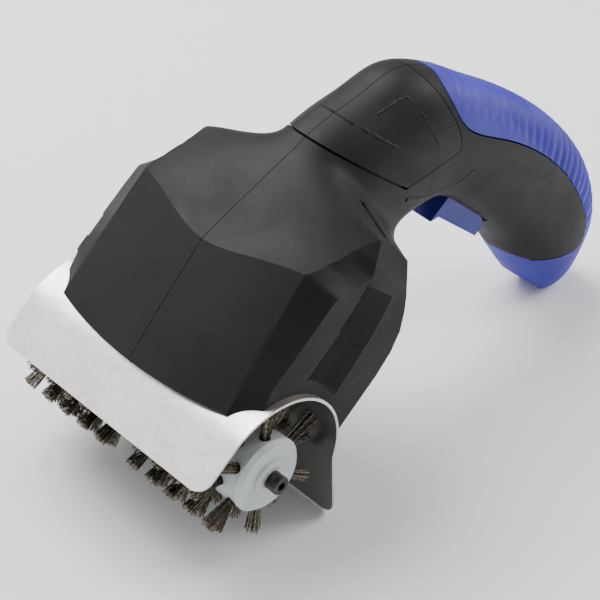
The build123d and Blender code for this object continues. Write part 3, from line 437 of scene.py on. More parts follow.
# %% Join, remesh and relax
VOXEL = 0.9
RELAX_SHARE = 0.5
SKIN_ROUNDS = 6
ROOT_ROUNDS = 140
ROOT_RISES = (62, 84)
ROOT_ENDS = (96, 116)
ROOT_LEAN = 0.35
SHOULDER_X = (22, 38)
SHOULDER_KEPT = 0.94
body_form = joined("body_form", [flare, handle_form])
melt = body_form.modifiers.new("melt", "REMESH")
melt.mode = "VOXEL"
melt.voxel_size = VOXEL
bake(body_form)
points = read_points(body_form.data)
edges = read_edges(body_form.data)
points = relax(points, edges, np.full(len(points), RELAX_SHARE), SKIN_ROUNDS)
up_the_neck = points[:, 2] - ROOT_LEAN * points[:, 1]
root = ramp(points[:, 2], *ROOT_RISES) * (1 - ramp(up_the_neck, *ROOT_ENDS))
root *= 1 - SHOULDER_KEPT * ramp(np.abs(points[:, 0]), *SHOULDER_X)
points = relax(points, edges, RELAX_SHARE * root, ROOT_ROUNDS)
write_points(body_form.data, points)
print("one skin of", len(points), "points")

# %% [markdown]
# ## Cut the underside to the hood
#
# The shells sit on the steel hood, and at the front their rim is a shallow curve across the
# hood's plate. A closed cutter the shape of everything under that line is taken away from the
# form with an exact boolean. Two more cutters leave the butt's angled end and the flat foot
# under it.

# %% The hood's numbers, and helpers that cut
HOOD_OUTLINE_GAP = 0.05
ARCH_RADIUS = 30.5
ARCH_AT = (1.0, 1.2)
ARCH_BEND = 7.5
BEND_AT = (30.944, 24.595)
PLATE_LEAN = 3.7
ARCH_END = 38
ARCH_POINTS = 60
BEND_END = 58
BEND_POINTS = 6
HOOD_ROWS = 56
RIM_RADIUS = 180.0
RIM_Z = 2.9
RIM_HALF = 58
RIM_POINTS = 60
RIM_FROM_Y, RIM_TO_Y = -70.0, -20.0
FAR_BELOW = -60.0
BLOCK_TOP = 88.0


def box_outline(y0, y1, z0, z1):
    """A side-view rectangle as points."""
    return [(y0, z0), (y1, z0), (y1, z1), (y0, z1)]


def arc(at, radius, start, end, count):
    """Side-view points on a circle, from one angle to another in degrees."""
    turns = [math.radians(angle) for angle in np.linspace(start, end, count)]
    return [(at[0] + radius * math.cos(a), at[1] + radius * math.sin(a)) for a in turns]


def closed_form(name, rings):
    """A closed cutter through rings of points."""
    obj = make_mesh(name, *skin_rings(rings))
    face_out(obj)
    return obj


def prism(name, outline, x0, x1, rows=1):
    """A side-view outline of (Y, Z) points, as a closed prism from x0 to x1 in a few rows."""
    across = np.linspace(x0, x1, rows + 1)
    return closed_form(name, [[(x, y, z) for y, z in outline] for x in across])


def carve(obj, cutter):
    """Take a closed cutter away from an object with the exact solver."""
    cut = obj.modifiers.new("cut", "BOOLEAN")
    cut.object = cutter
    cut.operation = "DIFFERENCE"
    cut.solver = "EXACT"
    bake(obj)
    drop(cutter)


print("cutter helpers ready")

# %% Cut the butt, the foot and the block
BUTT_CUT = [
    (163.2, 118.0), (200.0, 118.0), (200.0, 180.0), (160.5, 180.0), (160.5, 166.0), (172.9, 154.5),
]
FOOT_CUT = [(120.0, 121.3), (180.0, 132.0), (180.0, 110.0), (120.0, 110.0)]
BUTT_REACH = 40
BLOCK_REACH = 90
carve(body_form, prism("butt_cut", BUTT_CUT, -BUTT_REACH, BUTT_REACH))
carve(body_form, prism("foot_cut", FOOT_CUT, -BUTT_REACH, BUTT_REACH))
round_block = box_outline(-BLOCK_REACH, BLOCK_REACH, -32, BLOCK_TOP)
outside = prism("outside", round_block, -BLOCK_REACH, BLOCK_REACH)
carve(outside, block)
carve(body_form, outside)
print("block cut,", len(body_form.data.polygons), "faces")

# %% Cut the underside and the front rim
HOOD_REACH = 70
under_hood = [(-29.0, FAR_BELOW)]
arch = ARCH_RADIUS + HOOD_OUTLINE_GAP
under_hood += arc(ARCH_AT, arch, 180 + PLATE_LEAN, ARCH_END, ARCH_POINTS)
under_hood += arc(BEND_AT, HOOD_OUTLINE_GAP - ARCH_BEND, ARCH_END, BEND_END, BEND_POINTS)
under_hood += [(60.0, -2.4), (60.0, FAR_BELOW)]
carve(body_form, prism("under_hood", under_hood, -HOOD_REACH, HOOD_REACH, rows=HOOD_ROWS))
rim_outline = [(-RIM_HALF, FAR_BELOW)]
for x in np.linspace(-RIM_HALF, RIM_HALF, RIM_POINTS):
    rim_outline.append((x, RIM_Z + RIM_RADIUS - math.sqrt(RIM_RADIUS**2 - x**2)))
rim_outline.append((RIM_HALF, FAR_BELOW))
rim_rings = [[(x, y, z) for x, z in rim_outline] for y in (RIM_FROM_Y, RIM_TO_Y)]
carve(body_form, closed_form("rim_cutter", rim_rings))
print("form cut to", len(body_form.data.polygons), "faces")

# %% [markdown]
# ## Openings
#
# Under the neck the trigger swings in a bay. Slanting air slots cross both shoulders, two small
# recesses lie in the right face, and screws sit at the bottom of round wells there. The butt has
# the mouth of the charging socket. All of them are gathered into one cutter, so that the exact
# boolean runs once.


# %% Cutter shapes
def bar(name, start, end, radius, deeper, sides=40):
    """A closed bar between two points, oval so that it reaches deeper than it is wide."""
    start, end = Vector(start), Vector(end)
    along = end - start
    stand = along.to_track_quat("Z", "Y").to_matrix().to_4x4()
    middle = Matrix.Translation((start + end) / 2) @ stand @ Matrix.Diagonal((1, deeper, 1, 1))
    form = bmesh.new()
    ends = {"radius1": radius, "radius2": radius, "depth": along.length}
    bmesh.ops.create_cone(form, cap_ends=True, segments=sides, matrix=middle, **ends)
    return from_bmesh(name, form)


def circle(y, z, radius, count=40):
    """A side-view circle as points."""
    turns = [2 * math.pi * k / count for k in range(count)]
    return [(y + radius * math.cos(a), z + radius * math.sin(a)) for a in turns]


print("cutter shapes ready")

# %% Carve the openings
TRIGGER_BAY = [
    (54.4, 108.0), (54.4, 111.0), (57.4, 114.6), (88.7, 121.0), (88.7, 131.6), (54.4, 131.6),
]
BAY_HALF_WIDTH = 9.9
SLOT_ENDS = ((41.0, -17.0, 84.6), (25.0, -16.5, 91.3))
SLOT_HALF_WIDTH = 1.7
SLOT_DEEPER = 2.4
RECESS_LEVELS = (18.0, 33.6)
RECESS_HALF_HEIGHT = 4.5
RECESS_FROM_Y, RECESS_TO_Y = -32.0, -23.0
RECESS_FLOOR_X = -48.6
RIGHT_OF_ALL = -60.0
SCREW_WELLS = [(-25.0, 44.0), (22.0, 44.0), (16.0, 80.0), (38.0, 128.0)]
WELL_RADIUS = 3.2
WELL_FLOOR_X = -8.0
ARM_SLOT = [(-11.1, 20.0), (11.1, 20.0), (14.6, 40.0), (-16.9, 40.0)]
ARM_SLOT_HALF = 5.3
SOCKET_HALF_WIDTH = 4.75
SOCKET_MOUTH = box_outline(160.0, 180.0, 145.15, 148.85)

cutters = [prism("bay", TRIGGER_BAY, -BAY_HALF_WIDTH, BAY_HALF_WIDTH)]
cutters.append(prism("arm_slot", ARM_SLOT, -ARM_SLOT_HALF, ARM_SLOT_HALF))
for side in (-1, 1):
    low, high = [Vector((side * x, y, z)) for x, y, z in SLOT_ENDS]
    cutters.append(bar("slot", low, high, SLOT_HALF_WIDTH, SLOT_DEEPER))
for z in RECESS_LEVELS:
    low, high = z - RECESS_HALF_HEIGHT, z + RECESS_HALF_HEIGHT
    outline = box_outline(RECESS_FROM_Y, RECESS_TO_Y, low, high)
    cutters.append(prism("recess", outline, RIGHT_OF_ALL, RECESS_FLOOR_X))
for y, z in SCREW_WELLS:
    cutters.append(prism("well", circle(y, z, WELL_RADIUS), RIGHT_OF_ALL, WELL_FLOOR_X))
cutters.append(prism("socket_mouth", SOCKET_MOUTH, -SOCKET_HALF_WIDTH, SOCKET_HALF_WIDTH))
carve(body_form, joined("openings", cutters))
print("openings carved,", len(body_form.data.polygons), "faces")

# %% [markdown]
# ## Part lines, and the pieces between them
#
# Real pieces meet in narrow gaps. Each line is drawn in the side view and cut into the skin as a
# thin strip that is then removed. What is left falls apart into the left and right shells, the
# blue grip, and the two covers let into the neck.

# %% The side-view lines
GRIP_LINE = [
    (2.4, 190.0), (2.4, 149.2), (2.0, 146.8), (5.0, 144.6), (12.8, 141.8), (20.9, 141.0),
    (30.1, 143.4), (38.9, 146.9), (55.2, 153.6), (74.6, 159.4), (92.1, 162.6), (109.4, 163.8),
    (126.4, 162.7), (139.7, 160.4), (149.0, 155.6), (151.3, 151.0), (148.0, 146.9),
    (140.9, 140.0), (130.7, 131.8), (113.0, 124.0), (104.0, 115.0), (190.0, 115.0), (190.0, 190.0),
]
COVER_LINE = [
    (-44.0, 95.9), (10.2, 109.2), (24.2, 132.0), (24.7, 134.6), (19.8, 137.5),
    (10.0, 140.2), (0.0, 142.4), (-6.9, 143.6), (-40.0, 149.5),
]
MIDDLE_GAP = 0.12
FAR = 1e9
TINY = 1e-9


def pairs_of(line, closed):
    """The straight pieces of a line, as pairs of points."""
    return list(zip(line, line[1:])) + ([(line[-1], line[0])] if closed else [])


def rounded(line, rounds=2):
    """A line whose corners are cut a quarter along each side, round after round."""
    for _ in range(rounds):
        out = []
        for (y0, z0), (y1, z1) in zip(line, line[1:]):
            out.append((0.75 * y0 + 0.25 * y1, 0.75 * z0 + 0.25 * z1))
            out.append((0.25 * y0 + 0.75 * y1, 0.25 * z0 + 0.75 * z1))
        line = [line[0]] + out[1:-1] + [line[-1]]
    return line


def inside(outline, y, z):
    """Which of many side-view points lie inside a closed outline."""
    hit = np.zeros(len(y), dtype=bool)
    for (y0, z0), (y1, z1) in zip(outline, outline[1:] + outline[:1]):
        crosses = (z0 > z) != (z1 > z)
        with np.errstate(divide="ignore", invalid="ignore"):
            at = (y1 - y0) * (z - z0) / (z1 - z0) + y0
        hit ^= crosses & (y < at)
    return hit


def away(line, y, z, closed=False):
    """How far many side-view points lie from a line."""
    best = np.full(len(y), FAR)
    for (y0, z0), (y1, z1) in pairs_of(line, closed):
        dy, dz = y1 - y0, z1 - z0
        t = np.clip(((y - y0) * dy + (z - z0) * dz) / max(dy * dy + dz * dz, TINY), 0, 1)
        best = np.minimum(best, np.hypot(y - y0 - t * dy, z - z0 - t * dz))
    return best


print("grip line", len(GRIP_LINE), "points, cover line", len(COVER_LINE), "points")


# %% Helpers that cut lines, and the cut down the middle
CUT_REACH = 2.2
CUT_TOLERANCE = 1e-4


def centres(form):
    """The middle of every face, as an array."""
    return np.array([face.calc_center_median()[:] for face in form.faces])


def cut_plane(form, faces, at, normal):
    """Cut a few faces along a plane, and give the faces they become."""
    geometry = dict.fromkeys(faces)
    for face in faces:
        geometry.update(dict.fromkeys([*face.verts, *face.edges]))
    plane = {"plane_co": at, "plane_no": normal, "dist": CUT_TOLERANCE}
    made = bmesh.ops.bisect_plane(form, geom=list(geometry), **plane)
    return [item for item in made["geom"] if isinstance(item, bmesh.types.BMFace)]


def cut_line(form, line, half, closed=False, only=None, reach=CUT_REACH):
    """Cut a side-view line into the skin on both sides of it, half a strip's width away."""
    middle = centres(form)
    close = away(line, middle[:, 1], middle[:, 2], closed) < 2 * reach
    if only is not None:
        close &= only(middle)
    band = [face for face, near in zip(form.faces, close) if near]
    for (y0, z0), (y1, z1) in pairs_of(line, closed):
        length = math.hypot(y1 - y0, z1 - z0)
        dy, dz = (y1 - y0) / length, (z1 - z0) / length
        for offset in (-half, half):
            middle = np.array([face.calc_center_median()[:] for face in band])
            along = (middle[:, 1] - y0) * dy + (middle[:, 2] - z0) * dz
            side = -(middle[:, 1] - y0) * dz + (middle[:, 2] - z0) * dy
            near = (along > -reach) & (along < length + reach) & (np.abs(side - offset) < reach)
            picked = [band[k] for k in np.nonzero(near)[0]]
            rest = [band[k] for k in np.nonzero(~near)[0]]
            at = (0, y0 - dz * offset, z0 + dy * offset)
            band = rest + (cut_plane(form, picked, at, (0, -dz, dy)) if picked else [])


skin = bmesh.new()
skin.from_mesh(body_form.data)
for x in (-MIDDLE_GAP, MIDDLE_GAP):
    crossing = []
    for face in skin.faces:
        across = [vert.co.x for vert in face.verts]
        if min(across) < x < max(across):
            crossing.append(face)
    cut_plane(skin, crossing, (x, 0, 0), (1, 0, 0))
print("middle cut,", len(skin.faces), "faces")


# %% Cut the part lines
GRIP_SEAM = 0.3
COVER_SEAM = 0.18
BOTTOM_SEAM = 0.45
grip_line = rounded(GRIP_LINE[1:-4])
grip_area = [GRIP_LINE[0]] + grip_line + GRIP_LINE[-4:]
cover_line = rounded(COVER_LINE[1:-1])
cover_area = [COVER_LINE[0]] + cover_line + [COVER_LINE[-1]]
neck_bottom = COVER_LINE[:2]
seams = [
    (grip_line, GRIP_SEAM), (cover_line, COVER_SEAM), (neck_bottom, BOTTOM_SEAM),
    (COVER_LINE[-2:], COVER_SEAM),
]
for line, half in seams:
    cut_line(skin, line, half)
print("part lines cut,", len(skin.faces), "faces")

# %% [markdown]
# A groove that doesn't go through, such as the frame on the cover, is a strip between two cuts,
# pressed in so that it leaves upright walls. The same press makes the bed for the plate on the
# left face: the faces inside the plate's outline are copied for the plate itself, and the skin
# under them is pressed in.

# %% Press strips and beds in
FRAME_LINES = [
    [(-17.0, 121.8), (-14.1, 127.4), (-11.4, 133.0), (-8.5, 133.1)],
    [(-5.5, 132.4), (1.4, 130.3), (11.4, 128.6)],
]
SECOND_LINE = [(-30.0, 110.9), (-22.3, 113.3), (-6.0, 117.0)]
BROW_LINE = [
    (15.8, 107.1), (27.5, 112.6), (34.7, 118.9), (39.8, 125.0), (41.5, 130.0), (41.5, 133.5),
]
FINE_HALF = 0.2
FINE_DEPTH = 0.5
BROW_HALF = 0.9
BROW_DEPTH = 2.4
FINE_REACH = 1.6
OFF_MIDDLE = 0.5
PLATE_LINE = [(-17.3, 70.4), (0.8, 73.8), (5.4, 36.3), (-9.3, 35.1), (-14.1, 33.6)]
PLATE_GAP = 0.2
PLATE_BED_DEPTH = 0.9


def sink(form, faces, depth):
    """Press a patch of faces in, with upright walls round it."""
    form.normal_update()
    inwards = {tuple(v.co): v.normal * depth for face in faces for v in face.verts}
    made = bmesh.ops.extrude_face_region(form, geom=faces)
    for item in made["geom"]:
        if isinstance(item, bmesh.types.BMVert):
            item.co -= inwards[tuple(item.co)]


def picked_faces(form, test):
    """The faces whose middles pass a test."""
    form.faces.ensure_lookup_table()
    return [form.faces[k] for k in np.nonzero(test(centres(form)))[0]]


def engrave(form, line, half, depth, side):
    """Cut a side-view line into one side of the skin and press it in."""

    def on_side(spots):
        return spots[:, 0] * side > OFF_MIDDLE

    cut_line(form, line, half, only=on_side, reach=FINE_REACH)

    def on_line(spots):
        near = away(line, spots[:, 1], spots[:, 2]) < half
        return near & on_side(spots)

    faces = picked_faces(form, on_line)
    sink(form, faces, depth)
    return len(faces)


for side in (-1, 1):
    count = 0
    for line in FRAME_LINES:
        count += engrave(skin, rounded(line, 1), FINE_HALF, FINE_DEPTH, side)
    count += engrave(skin, SECOND_LINE, FINE_HALF, FINE_DEPTH, side)
    count += engrave(skin, rounded(BROW_LINE, 1), BROW_HALF, BROW_DEPTH, side)
    print("pressed", count, "faces in")

# %% The bed and the plate's own faces
LEFT_FACE = 44.0


def beside(spots):
    """Points on the left face of the head."""
    return spots[:, 0] > LEFT_FACE


def in_plate(spots):
    """Points on the plate itself, inside its gap."""
    y, z = spots[:, 1], spots[:, 2]
    far_in = inside(PLATE_LINE, y, z) & (away(PLATE_LINE, y, z, closed=True) > PLATE_GAP)
    return beside(spots) & far_in


def in_bed(spots):
    """Points on the bed, out to the far side of the gap."""
    y, z = spots[:, 1], spots[:, 2]
    on_gap = away(PLATE_LINE, y, z, closed=True) < PLATE_GAP
    return beside(spots) & (inside(PLATE_LINE, y, z) | on_gap)


cut_line(skin, PLATE_LINE, PLATE_GAP, closed=True, only=beside)
with_plate = bpy.data.meshes.new("with_plate")
skin.to_mesh(with_plate)
plate_share = in_plate(centres(skin))
sink(skin, picked_faces(skin, in_bed), PLATE_BED_DEPTH)
bmesh.ops.recalc_face_normals(skin, faces=skin.faces)
open_edges = sum(not edge.is_manifold for edge in skin.edges)
print("skin has", open_edges, "open edges")
print("plate", int(plate_share.sum()), "faces")

# %% [markdown]
# ## Share the skin out
#
# Each face now belongs to one piece, told by where its middle lies in the side view and on which
# side of the middle it is. The faces in the narrow strips belong to none and are dropped. Each
# piece of skin then gets its wall thickness inwards, and a thinner wall where the form is thin.

# %% Share out the faces
skin.faces.ensure_lookup_table()
middle = centres(skin)
y, z = middle[:, 1], middle[:, 2]
in_grip = inside(grip_area, y, z)
in_cover = inside(cover_area, y, z) & ~in_grip
strip = np.abs(middle[:, 0]) < MIDDLE_GAP
strip &= ~in_grip
for line, half in seams:
    strip |= away(line, y, z) < half
left = middle[:, 0] > 0
owner = np.where(in_grip, 1, np.where(in_cover, np.where(left, 2, 3), np.where(left, 4, 5)))
owner = np.where(strip, 0, owner)
PIECES = {
    1: ("grip_cushion", "blue_grip", "soft_grip", 1.7),
    2: ("neck_panel_left", "neck_plastic", "neck_cover_left", 1.4),
    3: ("neck_panel_right", "neck_plastic", "neck_cover_right", 1.4),
    4: ("shell_left", "black_plastic", "housing_left", 1.9),
    5: ("shell_right", "black_plastic", "housing_right", 1.9),
}
skin_mesh = bpy.data.meshes.new("skin")
skin.to_mesh(skin_mesh)
skin.free()
print({PIECES[k][0]: int((owner == k).sum()) for k in PIECES}, "dropped", int((owner == 0).sum()))


# %% [markdown]
# ## Ribs on the grip
#
# Shallow ribs run across the top of the soft grip and down its sides. Each point of the grip is
# pressed in by a wave that runs along the handle's back, so the crests stay on the drawn surface
# and the valleys lie nearly a millimetre deep. The wave fades out down the sides and at both ends.

# %% The ribs
RIB_PITCH = 6.8
RIB_DEPTH = 0.95
RIB_START = 84.0
RIB_START_FADE = 3.0
RIB_END = 240.0
RIB_END_FADE = 8.0
VALLEY_POWER = 1.6
DOWN_SIDES = 5.0
DOWN_SIDES_MORE = 9.0
MORE_BETWEEN = (100.0, 190.0)
DOWN_FADE = 6.0
back_line = [cut[:2] for cut in HANDLE_CUTS]


def along_back(y, z):
    """How far along the back's side-view line each point lies, and how far below it."""
    run, best, at = 0.0, np.full(len(y), FAR), np.zeros(len(y))
    for (y0, z0), (y1, z1) in zip(back_line, back_line[1:]):
        dy, dz = y1 - y0, z1 - z0
        length = math.hypot(dy, dz)
        t = np.clip(((y - y0) * dy + (z - z0) * dz) / length**2, 0, 1)
        gap = np.hypot(y - y0 - t * dy, z - z0 - t * dz)
        at = np.where(gap < best, run + t * length, at)
        best = np.minimum(best, gap)
        run += length
    return at, best


def press_ribs(obj):
    """Press the valleys between the ribs into the grip."""
    form = bmesh.new()
    form.from_mesh(obj.data)
    bmesh.ops.subdivide_edges(form, edges=form.edges, cuts=1, use_grid_fill=True)
    form.normal_update()
    spots = np.array([v.co[:] for v in form.verts])
    at, below = along_back(spots[:, 1], spots[:, 2])
    wave = (0.5 + 0.5 * np.cos(2 * math.pi * (at - RIB_START) / RIB_PITCH)) ** VALLEY_POWER
    reach = DOWN_SIDES + DOWN_SIDES_MORE * ramp(at, *MORE_BETWEEN)
    fade = 1 - ramp(below, reach, reach + DOWN_FADE)
    begun = ramp(at, RIB_START - RIB_START_FADE, RIB_START + RIB_START_FADE)
    fade *= begun * (1 - ramp(at, RIB_END - RIB_END_FADE, RIB_END))
    depth = RIB_DEPTH * wave * fade
    for vert, press in zip(form.verts, depth):
        vert.co -= vert.normal * press
    form.to_mesh(obj.data)
    form.free()
    print("ribs pressed up to", round(float(depth.max()), 2), "mm into", len(spots), "points")


# %% [markdown]
# ## Walls
#
# A moulded shell is a skin with an even wall. Each share of the skin is copied out, and a
# solidify modifier gives it a wall inwards. A ray cast inwards finds where the whole form is
# thin, and there the wall gets thinner too. Points that the wall has pushed into the hood are
# put back on the hood's line.


# %% Take a share and give it a wall
def take_faces(mesh, keep, name):
    """A new object with only the chosen faces of a mesh."""
    part = bmesh.new()
    part.from_mesh(mesh)
    part.faces.ensure_lookup_table()
    bmesh.ops.delete(part, geom=[part.faces[k] for k in np.nonzero(~keep)[0]], context="FACES")
    return from_bmesh(name, part)


def give_wall(obj, wall, group=""):
    """Make a skin solid by an even wall inwards, scaled point by point by a vertex group."""
    thick = obj.modifiers.new("wall", "SOLIDIFY")
    thick.thickness = wall
    thick.offset = -1
    thick.vertex_group = group
    bake(obj)


THIN_SHARE = 0.4
THINNEST = 0.05
START_IN = 0.03


def thicken(obj, wall, whole):
    """Give a skin its wall inwards, thinner where the whole form is thin."""
    group = obj.vertex_groups.new(name="wall")
    for vert in obj.data.vertices:
        inwards = -vert.normal
        hit = whole.ray_cast(vert.co + inwards * START_IN, inwards, wall / THIN_SHARE)
        room = THIN_SHARE * hit[3] if hit[0] is not None else wall
        group.add([vert.index], max(THINNEST, min(1.0, room / wall)), "REPLACE")
    give_wall(obj, wall, "wall")
    obj.vertex_groups.clear()


print("a wall is at most", THIN_SHARE, "of the form's own thickness")


# %% Keep the shells off the hood
def keep_out(obj, outline):
    """Move the points of a piece that have come inside a side-view outline back onto its line."""
    spots = np.array([vert.co[:] for vert in obj.data.vertices])
    went_in = np.nonzero(inside(outline, spots[:, 1], spots[:, 2]))[0]
    best = np.full(len(went_in), FAR)
    nearest = spots[went_in, 1:].copy()
    for (y0, z0), (y1, z1) in zip(outline, outline[1:]):
        ends, along = np.array([y0, z0]), np.array([y1 - y0, z1 - z0])
        t = np.clip((spots[went_in, 1:] - ends) @ along / (along @ along), 0, 1)
        at = ends + t[:, None] * along
        gap = np.linalg.norm(spots[went_in, 1:] - at, axis=1)
        nearest = np.where((gap < best)[:, None], at, nearest)
        best = np.minimum(best, gap)
    for k, (y, z) in zip(went_in, nearest):
        obj.data.vertices[int(k)].co.yz = y, z
    obj.data.update()
    return len(went_in)


print("the hood's line has", len(under_hood), "points")

# %% Build each piece from its share
flat = [v.co[:] for v in skin_mesh.vertices], [p.vertices[:] for p in skin_mesh.polygons]
whole_form = BVHTree.FromPolygons(*flat)
pieces = {}
for number, (name, _, _, wall) in PIECES.items():
    piece = take_faces(skin_mesh, owner == number, name)
    if name == "grip_cushion":
        press_ribs(piece)
    thicken(piece, wall, whole_form)
    if name.startswith("shell"):
        print(keep_out(piece, under_hood), "points kept off the hood")
    pieces[name] = piece
    print(name, len(piece.data.polygons), "faces")
PLATE_WALL = 0.7
plate = take_faces(with_plate, plate_share, "plain_side_plate")
give_wall(plate, PLATE_WALL)
print(plate.name, len(plate.data.polygons), "faces")

# %% [markdown]
# Behind the covers' lower edge and behind the middle seam lies a narrow lip, as moulded shells
# often have. It keeps the gaps there closed to the light.

# %% The lip behind the seams
LIP_HALF = 1.6
MIDDLE_LIP_HALF = 0.4
LIP_BELOW = 1.5
LIP_WALL = 0.8
near_seam = away(neck_bottom, y, z) < LIP_HALF
near_seam |= np.abs(middle[:, 0]) < MIDDLE_LIP_HALF
lip = take_faces(skin_mesh, near_seam & ~in_grip, "seam_lip")
sunk = bmesh.new()
sunk.from_mesh(lip.data)
sunk.normal_update()
for vert in sunk.verts:
    vert.co -= vert.normal * LIP_BELOW
sunk.to_mesh(lip.data)
sunk.free()
give_wall(lip, LIP_WALL)
drop(body_form)
print(lip.name, len(lip.data.polygons), "faces")

# %% Settle the pieces on the tool
for name, slot, node, _ in PIECES.values():
    settle(smooth_shaded(pieces[name], BODY_SHARP_ANGLE), "tool", slot, node)
settle(smooth_shaded(plate), "tool", "plate_plastic", "side_plate")
settle(smooth_shaded(lip), "tool", "black_plastic")
print(len(NEW_PIECES), "pieces ride on the tool")

# %% [markdown]
# ## Wire tufts
#
# The working model has each tuft as one plain cone. A real tuft is a bundle of crimped steel
# wires pressed into a hole in the nylon. Each wire is a thin bar along a wavy line that leans out
# a little more the further it stands from the tuft's middle. A few tufts are made from chance
# numbers with a fixed seed, and these are repeated round the roller with a different turn each.

# %% One bundle of wires
TUFT_RINGS = 9
TUFTS_PER_RING = 6
TUFT_FIRST_X = 47.3
TUFT_LAST_X = 8.8
TUFT_PHASE = 47.0
WIRES = 84
WIRE_STEPS = 12
WIRE_RADIUS = 0.13
WIRE_ROOT = 12.6
WIRE_TIP = 26.6
CRIMP = 0.2
CRIMP_PITCH = 2.6
GOLDEN_TURN = 2.39996
TURN_CHANCE = 0.3
ROOT_SPREAD = 1.75
TIP_SPREAD = 1.05
TIP_CHANCE = 0.2
SHORTEST_BY = 0.9
LEAN_POWER = 1.4
BUNDLES = 6
chance = random.Random(7)


def bundle():
    """Points of one tuft's wires, standing along Z: (wires, steps, 3)."""
    wires = []
    for k in range(WIRES):
        spread = math.sqrt((k + 0.5) / WIRES)
        turn = GOLDEN_TURN * k + chance.uniform(-TURN_CHANCE, TURN_CHANCE)
        root = ROOT_SPREAD * spread
        tip = root + (TIP_SPREAD * spread + chance.uniform(-TIP_CHANCE, TIP_CHANCE))
        sway, phase = chance.uniform(0, 2 * math.pi), chance.uniform(0, 2 * math.pi)
        length = WIRE_TIP - chance.uniform(0, SHORTEST_BY)
        line = []
        for step in range(WIRE_STEPS + 1):
            t = step / WIRE_STEPS
            z = WIRE_ROOT + t * (length - WIRE_ROOT)
            out = root + (tip - root) * t**LEAN_POWER
            wave = CRIMP * min(1.0, 2 * t) * math.sin(2 * math.pi * z / CRIMP_PITCH + phase)
            x = out * math.cos(turn) + wave * math.cos(sway)
            y = out * math.sin(turn) + wave * math.sin(sway)
            line.append((x, y, z))
        wires.append(line)
    return np.array(wires)


bundles = [bundle() for _ in range(BUNDLES)]
print(len(bundles), "bundles of", WIRES, "wires")


# %% Tufts round each half of the roller
NEARLY_X = np.array([1.0, 0.001, 0.002])


def wire_mesh(name, lines):
    """Three-sided bars round many lines, shaped (lines, steps, 3)."""
    count, steps, _ = lines.shape
    corners = []
    for k in range(3):
        a = 2 * math.pi * k / 3
        corners.append((math.cos(a) * WIRE_RADIUS, math.sin(a) * WIRE_RADIUS))
    ahead = np.gradient(lines, axis=1)
    ahead /= np.linalg.norm(ahead, axis=2, keepdims=True)
    first = np.cross(ahead, NEARLY_X)
    first /= np.linalg.norm(first, axis=2, keepdims=True)
    second = np.cross(ahead, first)
    rings = np.stack([lines + first * a + second * b for a, b in corners], axis=2)
    points = rings.reshape(-1, 3)
    start = np.arange(count)[:, None] * steps * 3
    step = np.arange(steps - 1)[None, :] * 3
    base = (start + step).ravel()
    quads = []
    for k in range(3):
        n = (k + 1) % 3
        quads.append(np.stack([base + k, base + n, base + 3 + n, base + 3 + k], axis=1))
    faces = np.concatenate(quads)
    ends = np.arange(count) * steps * 3
    caps = np.stack([ends + 2, ends + 1, ends], axis=1)
    last = ends + (steps - 1) * 3
    tips = np.stack([last, last + 1, last + 2], axis=1)
    return make_mesh(name, points.tolist(), faces.tolist() + caps.tolist() + tips.tolist())


def tufts(side):
    """All wires of one roller half."""
    lines = []
    pitch = (TUFT_FIRST_X - TUFT_LAST_X) / (TUFT_RINGS - 1)
    for ring in range(TUFT_RINGS):
        for number in range(TUFTS_PER_RING):
            angle = TUFT_PHASE + (number + 0.5 * (ring % 2)) * 360 / TUFTS_PER_RING
            twist = Matrix.Rotation(chance.uniform(0, 2 * math.pi), 3, "Z")
            stand = Matrix.Rotation(math.radians(angle), 3, "X")
            turn = np.array(stand @ twist)
            at = np.array([side * (TUFT_FIRST_X - ring * pitch), 0, 0])
            lines.append(chance.choice(bundles) @ turn.T + at)
    return np.concatenate(lines)


for side, name in ((1, "left"), (-1, "right")):
    wires = wire_mesh("wire_tufts_" + name, tufts(side))
    wires.data.shade_smooth()
    settle(wires, "roller", "bristle_wire", "bristles_" + name)
    print(wires.name, len(wires.data.polygons), "faces")

# %% [markdown]
# ## Finishes
#
# Several finishes share the same few effects: a fine moulded grain, smudges that change the
# gloss, a slow drift of colour, worn edges and brushed lines. Each effect is a node group that is
# built once and placed in each material with its own values. All of them are laid out in the
# object's own millimetres, so the grain has the right scale on every piece.


# %% Node group helpers
def new_group(name, inputs, outputs):
    """A shader node group with named inputs and outputs, and its two end nodes."""
    tree = bpy.data.node_groups.new(name, "ShaderNodeTree")
    for label, kind, value in inputs:
        socket = tree.interface.new_socket(label, in_out="INPUT", socket_type=kind)
        socket.default_value = value
    for label, kind in outputs:
        tree.interface.new_socket(label, in_out="OUTPUT", socket_type=kind)
    return tree, tree.nodes.new("NodeGroupInput"), tree.nodes.new("NodeGroupOutput")


def add(tree, kind, values=None, **settings):
    """A node with its settings and input values."""
    node = tree.nodes.new(kind)
    for key, value in settings.items():
        setattr(node, key, value)
    for key, value in (values or {}).items():
        node.inputs[key].default_value = value
    return node


def in_millimetres(tree):
    """The object's own coordinates, in millimetres."""
    spot = add(tree, "ShaderNodeTexCoord")
    scaled = add(tree, "ShaderNodeVectorMath", operation="SCALE")
    scaled.inputs["Scale"].default_value = 1 / MM
    tree.links.new(spot.outputs["Object"], scaled.inputs[0])
    return scaled.outputs["Vector"]


def one_over(tree, size):
    """One divided by a size, which is the scale that gives it."""
    node = add(tree, "ShaderNodeMath", {0: 1.0}, operation="DIVIDE")
    tree.links.new(size, node.inputs[1])
    return node.outputs["Value"]


def clouds(tree, size=None, **values):
    """Noise laid out in millimetres, with patches of a given size."""
    noise = add(tree, "ShaderNodeTexNoise", values)
    tree.links.new(in_millimetres(tree), noise.inputs["Vector"])
    if size is not None:
        tree.links.new(one_over(tree, size), noise.inputs["Scale"])
    return noise.outputs["Fac"]


